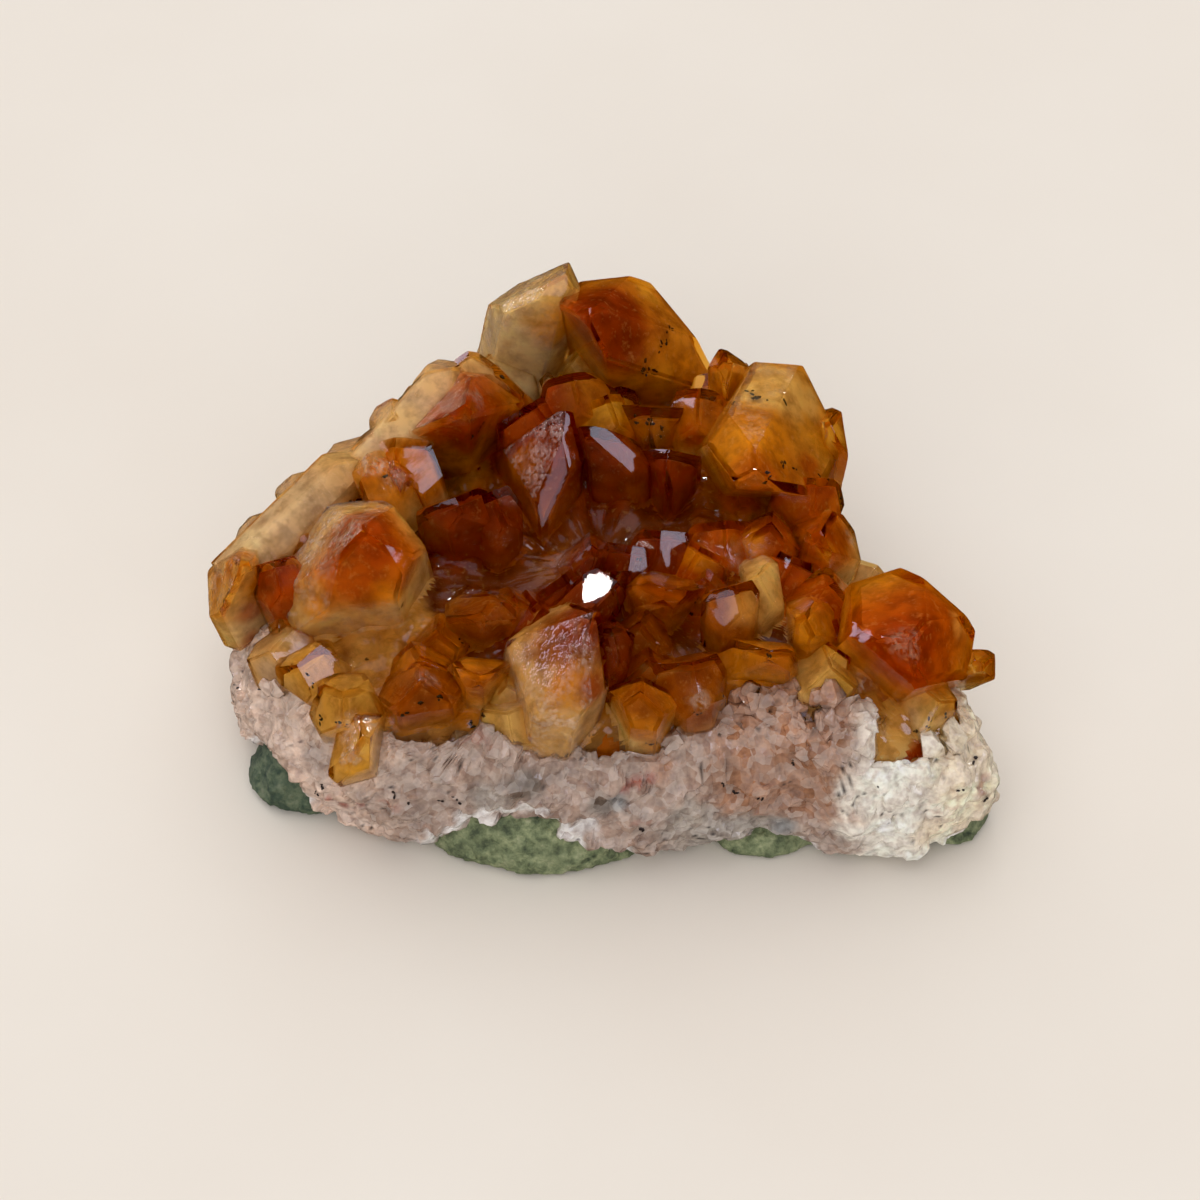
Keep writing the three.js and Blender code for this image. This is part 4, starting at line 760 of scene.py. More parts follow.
def relief(c, p):
    """Height in mm of the surface over each plane of crystal c near the points p."""
    q = p - c.tip
    s = -(q @ c.z)
    out = np.zeros((len(p), len(c.n)))
    off = c.index * 7.7
    broad = 0.035 * vn(p / 4.3 + off, 3) + 0.012 * vn(p / 1.7 + off, 5)
    fine = vn(p / 0.9 + off, 9)
    finer = vn(p / 0.5 + off, 11)
    etched = etching(p)
    for j, (kind, k) in enumerate(c.kind):
        if kind == "root":
            continue
        a = np.cross(c.n[j], c.z)
        a /= np.linalg.norm(a)
        t = q @ a
        if kind == "p":
            w = s / 1.15 + 0.55 * vn(np.stack([t / 3.0, s / 5.0, np.full(len(p), off + k)], 1), 21)
            h = broad + 0.035 * (w - np.floor(w) - 0.5)
        else:
            b = np.cross(c.n[j], a)
            w = (q @ (0.5 * a + 0.87 * b)) / 2.3 + 0.8 * vn(p / 3.5 + off + k, 23)
            g = w - np.floor(w)
            h = broad + 0.03 * np.minimum(g, (1 - g) * 5)
        fr = np.maximum(c.frost[j], etched)
        patch = np.clip(0.6 + 1.2 * vn(p / 2.6 + off, 31), 0, 1)
        h = h + fr * patch * (0.09 * fine + 0.09 * finer) + 0.006 * fine
        out[:, j] = h
    return out


def settle(c, p, soft=0.07, rounds=3):
    """Moves points to the crystal's softened surface with its relief."""
    h = relief(c, p)
    p = p.copy()
    for _ in range(rounds):
        g = (c.level(p) - h) / soft
        m = g.max(1, keepdims=True)
        e = np.exp(g - m)
        f = soft * (m[:, 0] + np.log(e.sum(1)))
        w = e / e.sum(1, keepdims=True)
        grad = w @ c.n
        g2 = np.maximum((grad ** 2).sum(1), 0.25)
        p -= (f / g2)[:, None] * grad
    return p


def make_object(name, verts, faces, link=True):
    me = bpy.data.meshes.new(name)
    me.from_pydata([tuple(v) for v in verts], [], [tuple(int(i) for i in f) for f in faces])
    me.validate()
    me.update()
    ob = bpy.data.objects.new(name, me)
    if link:
        bpy.context.scene.collection.objects.link(ob)
    return ob


def is_closed(me):
    e = np.zeros(len(me.edges) * 2, np.int64)
    me.edges.foreach_get("vertices", e)
    n = np.zeros(len(me.edges), int)
    le = np.zeros(len(me.loops), np.int64)
    me.loops.foreach_get("edge_index", le)
    np.add.at(n, le, 1)
    return bool(len(n)) and bool(np.all(n == 2))


def union(name, parts):
    """Joins closed meshes into one, as one closed mesh without inner walls."""
    col = bpy.data.collections.new(name + "_parts")
    bpy.context.scene.collection.children.link(col)
    whole = []
    for o in parts:
        if is_closed(o.data):
            whole.append(o)
        else:
            print("not closed:", o.name)
            bpy.data.objects.remove(o)
    parts = whole
    base, rest = parts[0], parts[1:]
    for o in rest:
        for k in list(o.users_collection):
            k.objects.unlink(o)
        col.objects.link(o)
    md = base.modifiers.new("join", "BOOLEAN")
    md.operation = "UNION"
    md.operand_type = "COLLECTION"
    md.collection = col
    md.solver = "MANIFOLD"
    dg = bpy.context.evaluated_depsgraph_get()
    me = bpy.data.meshes.new_from_object(base.evaluated_get(dg))
    for o in parts:
        old = o.data
        bpy.data.objects.remove(o)
        bpy.data.meshes.remove(old)
    bpy.data.collections.remove(col)
    ob = bpy.data.objects.new(name, me)
    me.name = name
    bpy.context.scene.collection.objects.link(ob)
    return ob


def cut_below(ob, level):
    """Cuts the object flat at z = level (mm) with a box."""
    s = 0.09
    z0, z1 = level * MM - 0.08, level * MM
    v = [(-s, -s, z0), (s, -s, z0), (s, s, z0), (-s, s, z0), (-s, -s, z1), (s, -s, z1), (s, s, z1), (-s, s, z1)]
    f = [(0, 3, 2, 1), (4, 5, 6, 7), (0, 1, 5, 4), (1, 2, 6, 5), (2, 3, 7, 6), (3, 0, 4, 7)]
    box = make_object("cutter", v, f)
    md = ob.modifiers.new("cut", "BOOLEAN")
    md.operation = "DIFFERENCE"
    md.object = box
    md.solver = "MANIFOLD"
    dg = bpy.context.evaluated_depsgraph_get()
    me = bpy.data.meshes.new_from_object(ob.evaluated_get(dg))
    old = ob.data
    ob.modifiers.clear()
    ob.data = me
    bpy.data.meshes.remove(old)
    bpy.data.objects.remove(box)
    return ob


def keep_large(ob, least=None):
    """Drops crumbs: keeps the largest island, or every one with at least `least` corners."""
    me = ob.data
    nv = len(me.vertices)
    ed = np.zeros(len(me.edges) * 2, np.int64)
    me.edges.foreach_get("vertices", ed)
    ed = ed.reshape(-1, 2)
    lab = np.arange(nv)
    while True:
        m = np.minimum(lab[ed[:, 0]], lab[ed[:, 1]])
        new = lab.copy()
        np.minimum.at(new, ed[:, 0], m)
        np.minimum.at(new, ed[:, 1], m)
        new = new[new]
        if np.array_equal(new, lab):
            break
        lab = new
    ids, cnt = np.unique(lab, return_counts=True)
    big = ids[np.argmax(cnt)][None] if least is None else ids[cnt >= least]
    drop = ~np.isin(lab, big)
    bm = bmesh.new()
    bm.from_mesh(me)
    bm.verts.ensure_lookup_table()
    bmesh.ops.delete(bm, geom=[bm.verts[i] for i in np.nonzero(drop)[0]], context="VERTS")
    bm.to_mesh(me)
    bm.free()
    return ob


def smooth_by_angle(ob, degrees):
    me = ob.data
    me.polygons.foreach_set("use_smooth", np.ones(len(me.polygons), bool))
    me.set_sharp_from_angle(angle=math.radians(degrees))


def coords(me):
    co = np.zeros(len(me.vertices) * 3)
    me.vertices.foreach_get("co", co)
    return co.reshape(-1, 3)


def triangulate(ob):
    bm = bmesh.new()
    bm.from_mesh(ob.data)
    bmesh.ops.triangulate(bm, faces=[f for f in bm.faces if len(f.verts) > 3])
    bm.to_mesh(ob.data)
    bm.free()


# ---- ring lofts ---------------------------------------------------------
def closed_curve(points, count):
    """A closed centripetal Catmull-Rom curve, sampled at even spacing."""
    P = np.array(points, float)
    n = len(P)
    out = []
    for i in range(n):
        p0, p1, p2, p3 = P[(i - 1) % n], P[i], P[(i + 1) % n], P[(i + 2) % n]
        t1 = np.linalg.norm(p1 - p0) ** 0.5
        t2 = t1 + np.linalg.norm(p2 - p1) ** 0.5
        t3 = t2 + np.linalg.norm(p3 - p2) ** 0.5
        for t in np.linspace(t1, t2, 40, endpoint=False):
            a1 = (t1 - t) / t1 * p0 + t / t1 * p1
            a2 = (t2 - t) / (t2 - t1) * p1 + (t - t1) / (t2 - t1) * p2
            a3 = (t3 - t) / (t3 - t2) * p2 + (t - t2) / (t3 - t2) * p3
            b1 = (t2 - t) / t2 * a1 + t / t2 * a2
            b2 = (t3 - t) / (t3 - t1) * a2 + (t - t1) / (t3 - t1) * a3
            out.append((t2 - t) / (t2 - t1) * b1 + (t - t1) / (t2 - t1) * b2)
    Q = np.array(out)
    seg = np.linalg.norm(np.roll(Q, -1, 0) - Q, axis=1)
    s = np.concatenate([[0], np.cumsum(seg)])
    want = np.linspace(0, s[-1], count, endpoint=False)
    Q = np.vstack([Q, Q[:1]])
    return np.stack([np.interp(want, s, Q[:, k]) for k in (0, 1)], 1)


def loft(rows):
    """A closed mesh from rings of points, capped by fans at the first and last ring's middle."""
    r, n = len(rows), len(rows[0])
    verts = np.vstack(rows + [rows[0].mean(0)[None], rows[-1].mean(0)[None]])
    i = np.arange(n)
    j = (i + 1) % n
    faces = []
    for a in range(r - 1):
        faces.append(np.stack([a * n + i, a * n + j, (a + 1) * n + j], 1))
        faces.append(np.stack([a * n + i, (a + 1) * n + j, (a + 1) * n + i], 1))
    faces.append(np.stack([np.full(n, r * n), j, i], 1))
    faces.append(np.stack([np.full(n, r * n + 1), (r - 1) * n + i, (r - 1) * n + j], 1))
    return verts, np.vstack(faces)


# ---- colouring of the crystals ------------------------------------------
# depth of the coloured core under the termination faces and inside the prism faces (mm), its
# colour near the tip, lower down and at the root, and the depths where those give way
ZONES = {
    "orange":   (1.4, 1.0, (0.46, 0.085, 0.010), (0.66, 0.230, 0.022), (0.96, 0.76, 0.44), 6.5, 10.5),
    "amber":    (1.5, 1.0, (0.62, 0.210, 0.020), (0.74, 0.340, 0.040), (0.94, 0.72, 0.40), 5.5, 10.5),
    "deep":     (1.2, 1.0, (0.40, 0.060, 0.006), (0.56, 0.130, 0.010), (0.74, 0.36, 0.05), 5.0, 12.0),
    "pale":     (0.6, 0.5, (0.84, 0.520, 0.220), (0.86, 0.560, 0.280), (0.84, 0.62, 0.40), 4.0, 9.0),
    "palegold": (0.6, 0.5, (0.94, 0.620, 0.220), (0.95, 0.680, 0.320), (0.94, 0.74, 0.48), 5.0, 10.0),
    "gold":     (1.2, 1.0, (0.72, 0.300, 0.026), (0.68, 0.250, 0.020), (0.74, 0.42, 0.09), 6.0, 13.0),
    "olive":    (1.6, 1.1, (0.46, 0.180, 0.022), (0.54, 0.220, 0.022), (0.68, 0.40, 0.10), 6.0, 12.0),
    "dark":     (1.6, 1.1, (0.29, 0.048, 0.008), (0.38, 0.075, 0.009), (0.54, 0.20, 0.03), 5.0, 12.0),
    "brown":    (1.6, 1.1, (0.38, 0.110, 0.014), (0.50, 0.180, 0.018), (0.70, 0.40, 0.12), 5.0, 11.0),
    "red":      (1.3, 1.5, (0.46, 0.075, 0.007), (0.62, 0.180, 0.014), (0.82, 0.46, 0.08), 8.0, 14.0),
    "frost":    (1.1, 0.7, (0.25, 0.070, 0.018), (0.72, 0.380, 0.080), (0.84, 0.58, 0.28), 5.0, 9.0),
    "clear":    (2.0, 1.3, (0.78, 0.500, 0.180), (0.80, 0.540, 0.230), (0.82, 0.60, 0.34), 5.0, 10.0),
}
# what the surface itself passes, at the tip and at the root
TINTS = {
    "orange": ((1.0, 0.72, 0.42), (1.0, 0.93, 0.82)), "amber": ((1.0, 0.80, 0.46), (1.0, 0.92, 0.78)),
    "deep": ((0.86, 0.55, 0.36), (1.0, 0.80, 0.50)), "pale": ((1.0, 0.94, 0.86), (1.0, 0.97, 0.92)),
    "palegold": ((1.0, 0.90, 0.70), (1.0, 0.96, 0.88)), "gold": ((1.0, 0.84, 0.50), (1.0, 0.86, 0.56)),
    "olive": ((0.92, 0.76, 0.48), (0.96, 0.80, 0.50)), "dark": ((0.66, 0.42, 0.38), (0.86, 0.60, 0.42)),
    "brown": ((0.86, 0.62, 0.42), (0.95, 0.76, 0.52)), "red": ((1.0, 0.66, 0.38), (1.0, 0.84, 0.56)),
    "frost": ((0.88, 0.66, 0.56), (1.0, 0.92, 0.80)), "clear": ((1.0, 0.92, 0.74), (1.0, 0.94, 0.82)),
}
# faces etched dull, by crystal and face
FROST = {
    ("A", "r2"): 1.0, ("A", "r1"): 0.7, ("A", "r3"): 0.4, ("L1", "r2"): 0.6, ("L1", "r1"): 0.7, ("L1", "r0"): 0.5,
    ("B", "r2"): 0.5, ("C", "r2"): 0.9, ("C", "r3"): 0.9, ("C", "p3"): 0.6, ("C", "p4"): 0.25, ("E", "r2"): 1.0,
    ("N", "r2"): 0.35, ("N", "r3"): 0.5, ("N", "p2"): 0.45, ("N", "p3"): 0.5, ("N", "p4"): 0.3, ("K", "r1"): 0.3,
    ("Z1", "r2"): 0.5, ("Z2", "r3"): 0.5, ("Z3", "r2"): 0.5, ("Z4", "r2"): 0.5, ("Z5", "r2"): 0.5,
    ("Z5", "r1"): 0.5, ("A", "p4"): 0.25, ("P", "r2"): 0.4,
}
MAIN = {"A", "B", "C", "G", "K", "D", "E", "F", "N", "W", "L1", "Q", "R", "S", "O1", "O2", "O3", "X1", "P", "P2", "T", "V", "U"}

crystals = [Crystal(row, i) for i, row in enumerate(CRYSTALS)]
plan0 = closed_curve(OUTLINE, 720)
angle0 = np.arctan2(plan0[:, 1], plan0[:, 0])
order0 = np.argsort(angle0)


def inset_of(x, y):
    """How far inside the outline the points are, along the line to the middle, in mm."""
    r = np.interp(np.arctan2(y, x), angle0[order0], np.linalg.norm(plan0, axis=1)[order0], period=2 * np.pi)
    return r - np.hypot(x, y)


def roof(x, y):
    """Height of the crystals over the points x, y of the table's frame, and which crystal it is."""
    q = np.column_stack([x, y + SHIFT[1]])
    top = np.full(len(q), 14.0)
    who = np.full(len(q), -1)
    for i, c in enumerate(crystals):
        hi, lo = np.full(len(q), 1e9), np.full(len(q), -1e9)
        for n, d in zip(c.n, c.d):
            rest = d + n @ c.tip - q @ n[:2]
            if n[2] > 1e-6:
                hi = np.minimum(hi, rest / n[2])
            elif n[2] < -1e-6:
                lo = np.maximum(lo, rest / n[2])
            else:
                hi = np.where(rest < 0, -1e9, hi)
        z = np.where(hi > lo, hi, 0)
        win = z > top
        top[win], who[win] = z[win], i
    return top, who


def between():
    """Rows for the small crystals that grew in the gaps between the large ones."""
    step = 0.9
    gx, gy = np.arange(-46, 47, step), np.arange(-31, 38, step)
    X, Y = np.meshgrid(gx, gy, indexing="ij")
    top, who = roof(X.ravel(), Y.ravel())
    H = top.reshape(X.shape)
    inside = (inset_of(X.ravel(), Y.ravel()) > 0.5).reshape(X.shape)
    w = np.exp(-0.5 * (np.arange(-9, 10) * step / 3.2) ** 2)

    def blur(a):
        a = np.apply_along_axis(lambda r: np.convolve(r, w, "same"), 0, a)
        return np.apply_along_axis(lambda r: np.convolve(r, w, "same"), 1, a)

    mean = blur(H * inside) / np.maximum(blur(inside.astype(float)), 1e-6)
    lack = (mean - H).ravel()
    inset = inset_of(X.ravel(), Y.ravel())
    edge = np.clip((inset - 4.2) / 5, 0, 1)
    rows, used = [], []
    for k in np.argsort(-(lack + 1.4 * (1 - edge) * (inset > 5.2))):
        x, y = X.ravel()[k], Y.ravel()[k]
        if inset[k] < 5.4 or lack[k] < 2.0 - 0.6 * (1 - edge[k]):
            continue
        if used and np.min(np.hypot(*(np.array(used) - [x, y]).T)) < 3.1 + 0.7 * edge[k]:
            continue
        r = _hash(np.full(16, k), np.arange(16), np.full(16, 5), 77)
        used.append((x, y))
        size = 1.7 + 0.45 * r[0] + 0.5 * edge[k]
        z = min(H.ravel()[k] + 3.0 + 0.7 * r[1], mean.ravel()[k] - 1.2, 28.5)
        if z < H.ravel()[k] + 0.8:
            continue
        lean = [float(np.clip(0.36 * x + 7 * r[2], -32, 32)), float(np.clip(0.42 * (y + 1) + 7 * r[3], -32, 32))]
        j = who[k]
        if j < 0:
            j = int(np.argmin([np.hypot(c.tip[0] - x, c.tip[1] - SHIFT[1] - y) for c in crystals]))
        kind = crystals[j].cls
        if edge[k] < 0.55:
            kind = ("pale", "clear", "palegold", "clear")[int((r[4] + 1) * 1.99)]
        elif kind in ("pale", "frost"):
            kind = "palegold"
        rise = [0.0, 0.5 + 0.4 * r[5], 0.2 * abs(r[6]), 0.9 + 0.5 * r[7], 0.0, 0.8 + 0.5 * r[8]]
        sides = [size * (1 + 0.22 * q) for q in r[9:15]]
        length = (z - 11.6) / math.cos(math.radians(math.hypot(*lean))) + 0.5
        rows.append(["s%d" % len(rows), [float(x), float(y), float(z)], [*lean, float(60 * (r[15] + 1))], rise, sides, length, kind])
        if len(rows) == 72:
            break
    return rows


crystals += [Crystal(row, len(crystals) + i) for i, row in enumerate(between())]
print("crystals:", len(crystals))


def crystal_object(c):
    main = c.name in MAIN
    base = 0.55 if main else 0.75
    d = np.minimum(c.d, 90)
    # the root stops a little under the cut
    v, f = mesh_faces(c.n, d, lambda j: (0.42 if c.frost[j] > 0.45 else base) if c.kind[j][0] != "root" else 1.5)
    v = settle(c, v + c.tip)
    return make_object("c_" + c.name, v * MM, f)


def grains(p, size, amp, seed):
    """Height of a surface of broken grains: each one a flat tilted facet, with a furrow round it."""
    f1, f2, place, rnd = cells(p / size, seed)
    tilt = np.einsum("ij,ij->i", rnd, p / size - place)
    edge = np.clip((f2 - f1) / 0.16, 0, 1)
    return amp * (0.45 * rnd[:, 0] + 0.9 * tilt) * (0.55 + 0.45 * edge) - amp * 0.25 * (1 - edge), f1, f2, rnd


def core_object(c):
    t, m = ZONES[c.cls][:2]
    inset = np.array([t if k[0] == "r" else m if k[0] == "p" else 0.0 for k in c.kind])
    big = c.d[[i for i, k in enumerate(c.kind) if k[0] == "p"]].sum() / 6
    if big < 4.5:
        inset *= 0.75
    d = c.d - inset
    if min(d[[i for i, k in enumerate(c.kind) if k[0] == "p"]]) < 0.3:
        d = np.array([max(x, 0.45) if k[0] == "p" else x for x, k in zip(d, c.kind)])
    try:
        v, f = mesh_faces(c.n, d, lambda j: 0.8)
    except Exception:
        return None
    if len(f) < 20:
        return None
    p = v + c.tip
    soft = 0.16 if c.name in MAIN else 0.2
    g = (c.level(p) + (c.d - d)) / soft
    mm = g.max(1, keepdims=True)
    e = np.exp(g - mm)
    w = e / e.sum(1, keepdims=True)
    nrm = w @ c.n
    fval = soft * (mm[:, 0] + np.log(e.sum(1)))
    bump = 0.14 * vn(p / 2.4 + c.index * 3.1, 41) + 0.07 * vn(p / 0.95 + c.index, 43) - 0.08
    p = p + nrm * (bump - fval)[:, None]
    return make_object("k_" + c.name, p * MM, f)


def bed_rows(drop, inset0, count=420):
    """The floor of grown-together crystal between the tips, as rings of points."""
    plan = closed_curve(OUTLINE, count)
    length = np.linalg.norm(plan, axis=1, keepdims=True)
    levels = np.array([[0.5, 0, 12.2, 0], [1, 5.2, 12.2, 0], [1, 5.2, 14.6, 0.5], [1, 5.6, 16.8, 0.7], [1, 7.4, 18.4, 0.8],
                       [0.82, 5.2, 20.0, 0.9], [0.66, 5.2, 21.4, 1], [0.48, 2, 22.0, 1.1], [0.3, 0, 22.2, 1.2], [0.1, 0, 22.3, 1.2]])
    counts = [2, 2, 5, 5, 5, 9, 9, 7, 6]
    rows = []
    for a in range(len(levels) - 1):
        for t in np.linspace(0, 1, counts[a], endpoint=False):
            sc, inset, z, rough = levels[a] * (1 - t) + levels[a + 1] * t
            p = plan * sc * (length - inset - inset0) / length
            q = np.column_stack([p, np.full(len(p), float(z))])
            k = fbm(q / 4.0, 3, 61)
            q[:, :2] *= (1 + rough * k[:, None] / np.maximum(length, 1))
            if z > 13:
                q[:, 2] += rough * 1.0 * vn(q / 3.1, 67) - drop
                if drop == 0:
                    q[:, 2] += 0.55 * grains(q, 2.1, 0.9, 71)[0]
            rows.append(q + SHIFT)
    return rows


def owners(p):
    """For each point, the crystal whose surface it lies on and which of its planes."""
    best = np.full(len(p), 1e9)
    who = np.full(len(p), -1)
    plane = np.zeros(len(p), int)
    for i, c in enumerate(crystals):
        near = np.nonzero(np.abs(p - c.tip).max(1) < c.length + 16)[0]
        if not len(near):
            continue
        lv = c.level(p[near])
        k = lv.argmax(1)
        f = np.abs(lv.max(1))
        win = f < best[near]
        ids = near[win]
        best[ids] = f[win]
        who[ids] = i
        plane[ids] = k[win]
    who[best > 0.5] = -1
    return who, plane


def mix3(a, b, t):
    return a * (1 - t[:, None]) + b * t[:, None]


def step01(x, a, b):
    t = np.clip((x - a) / (b - a), 0, 1)
    return t * t * (3 - 2 * t)


def corner_data(me):
    nl = len(me.loops)
    lv = np.zeros(nl, np.int64)
    me.loops.foreach_get("vertex_index", lv)
    lt = np.zeros(len(me.polygons), np.int64)
    me.polygons.foreach_get("loop_total", lt)
    face_of = np.repeat(np.arange(len(me.polygons)), lt)
    cen = np.zeros(len(me.polygons) * 3)
    me.polygons.foreach_get("center", cen)
    return lv, face_of, cen.reshape(-1, 3)


def put_color(me, name, rgb):
    at = me.color_attributes.new(name, "FLOAT_COLOR", "CORNER")
    at.data.foreach_set("color", np.column_stack([rgb, np.ones(len(rgb))]).astype(np.float32).ravel())


def put_float(me, name, val, domain="CORNER"):
    at = me.attributes.new(name, "FLOAT", domain)
    at.data.foreach_set("value", np.asarray(val, np.float32))


def lump_level(p):
    """About how far each point is outside the nearest basalt lump, in mm."""
    out = np.full(len(p), 1e9)
    for c, r in LUMPS:
        r = np.array(r, float)
        q = (p - np.array(c) - SHIFT) / r
        out = np.minimum(out, (np.linalg.norm(q, axis=1) - 1) * r.min())
    return out


QUARTZ = {
    "lav": (0.43, 0.295, 0.228), "grey": (0.38, 0.325, 0.275), "bluegrey": (0.27, 0.275, 0.275), "pink": (0.38, 0.175, 0.090),
    "white": (0.97, 0.900, 0.780), "beige": (0.97, 0.800, 0.580), "dark": (0.13, 0.095, 0.070), "mauve": (0.80, 0.590, 0.480),
    "left": (0.72, 0.510, 0.390), "red": (0.36, 0.080, 0.045), "back": (0.80, 0.580, 0.430),
}


def quartz_tone(p):
    """Colour of the quartz at the points p of the part's frame."""
    P = p - SHIFT
    tone = np.tile(np.array(QUARTZ["lav"]), (len(P), 1))
    x = P[:, 0] + 2.2 * fbm(P / 4.0, 3, 401)
    for name, k in (("grey", step01(x, 4, 12) * step01(-x, -26, -18) * step01(-P[:, 2], -10, -7)),
                    ("pink", step01(x, 10, 16) * step01(-x, -36, -28) * step01(P[:, 2], 6.5, 9.5)),
                    ("white", step01(x, 28, 33)), ("beige", step01(x, 37, 42)), ("left", step01(-x, 22, 28)),
                    ("back", 0.8 * step01(P[:, 1], -8, 2))):
        tone = mix3(tone, np.array(QUARTZ[name]), k)
    for name, place, r in QUARTZ_MARKS:
        near = np.nonzero(np.abs(p - np.array(place)).max(1) < r * 1.9 + 0.5)[0]
        q = p[near]
        d = np.linalg.norm(q - np.array(place), axis=1) / (r * 1.05 + 0.1) + 0.35 * fbm(q / 1.5, 2, 407)
        tone[near] = mix3(tone[near], np.array(QUARTZ[name]), 0.85 * (1 - step01(d, 0.5, 1.3)))
    tone = tone * (1 + 0.30 * fbm(P / 2.4, 3, 409))[:, None]
    return np.clip(tone, 0, 0.97)


# the crystals, grown together into one clear body
parts = [crystal_object(c) for c in crystals]
bv, bf = loft(bed_rows(0.0, 0.0))
parts.append(make_object("c_bed", bv * MM, bf))
glass = union("citrine", parts)
cut_below(glass, CUT)
triangulate(glass)
keep_large(glass)
smooth_by_angle(glass, 24)

me = glass.data
lv, face_of, cen = corner_data(me)
P = coords(me) / MM
who_f, plane_f = owners(cen / MM)
who, plane = who_f[face_of], plane_f[face_of]
pc = P[lv]
axial = np.zeros(len(lv))
frost = np.zeros(len(lv))
prism = np.zeros(len(lv))
tint = np.tile(np.array([0.92, 0.72, 0.45]), (len(lv), 1))
for i, c in enumerate(crystals):
    m = who == i
    if not m.any():
        continue
    s = -((pc[m] - c.tip) @ c.z)
    axial[m] = s + 0.5 * vn(pc[m] / 3.2, 73)
    frost[m] = np.maximum(c.frost[plane[m]], etching(pc[m]))
    isp = np.array([k[0] == "p" for k in c.kind])
    prism[m] = isp[plane[m]]
    a, b = TINTS[c.cls]
    ta, tb = ZONES[c.cls][5:7]
    tint[m] = mix3(np.array(a), np.array(b), step01(s + 1.2 * vn(pc[m] / 2.5, 71), ta, tb))
put_color(me, "tint", tint)
put_float(me, "axial", axial)
put_float(me, "frost", frost * np.clip(0.72 + 0.9 * vn(pc / 1.3, 75), 0.25, 1))
put_float(me, "prism", prism)

# the coloured and milky zones sealed inside them
cores = [o for o in (core_object(c) for c in crystals) if o]
bv, bf = loft(bed_rows(1.0, 0.9, 300))
cores.append(make_object("k_bed", bv * MM, bf))
core = union("colour_zones", cores)
cut_below(core, CUT + 0.25)
triangulate(core)
keep_large(core, 60)
smooth_by_angle(core, 50)
me = core.data
lv, face_of, cen = corner_data(me)
P = coords(me) / MM


def core_owner(p):
    best = np.full(len(p), 1e9)
    who = np.full(len(p), -1)
    for i, c in enumerate(crystals):
        near = np.nonzero(np.abs(p - c.tip).max(1) < c.length + 16)[0]
        lvl = c.level(p[near])
        inside = lvl.max(1) < 0.1
        t, m = ZONES[c.cls][:2]
        inset = np.array([t if k[0] == "r" else m if k[0] == "p" else 0.0 for k in c.kind])
        f = np.abs((lvl + inset).max(1))
        f = np.where(inside, f, 9e9)
        win = f < best[near]
        ids = near[win]
        best[ids] = f[win]
        who[ids] = i
    return who


who_f = core_owner(cen / MM)
who = who_f[face_of]
pc = P[lv]
inset = inset_of(pc[:, 0], pc[:, 1] - SHIFT[1]) + 1.6 * fbm(pc / 3.4, 3, 91)
tone = mix3(quartz_tone(pc), np.array([0.70, 0.42, 0.14]), step01(inset, 7.0, 10.5))
tone = mix3(tone, np.array([0.50, 0.19, 0.026]), step01(inset, 10.0, 14.5))
tone = mix3(tone, np.array([0.26, 0.06, 0.009]), step01(inset, 14.5, 21.0))
for i, c in enumerate(crystals):
    m = who == i
    if not m.any():
        continue
    z = ZONES[c.cls]
    s = -((pc[m] - c.tip) @ c.z)
    n1 = fbm(pc[m] / 2.6 + i * 1.3, 3, 81)
    n2 = vn(pc[m] / 1.3 + i * 2.1, 83)
    col = mix3(np.array(z[2]), np.array(z[3]), step01(s + 2.4 * n1, z[5] * 0.35, z[5]))
    col = mix3(col, np.array(z[4]), step01(s + 1.6 * n1 + 0.5 * n2, z[5], z[6]))
    col = col * (1 + 0.25 * n1 + 0.12 * n2)[:, None]
    tone[m] = col
for tag, place, r in MARKS:
    near = np.nonzero(np.abs(pc - np.array(place)).max(1) < r * 1.9 + 2.2)[0]
    q = pc[near]
    d = np.linalg.norm(q - np.array(place), axis=1) / (r * 1.05 + 0.9) + 0.30 * fbm(q / 1.8, 2, 87)
    k = 0.85 * (1 - step01(d, 0.55, 1.25))
    dapple = (1 + 0.20 * fbm(q / 1.5, 3, 89))[:, None]
    tone[near] = mix3(tone[near], np.array(TONES[tag]) * dapple, k)
put_color(me, "tone", np.clip(tone, 0.002, 0.95))


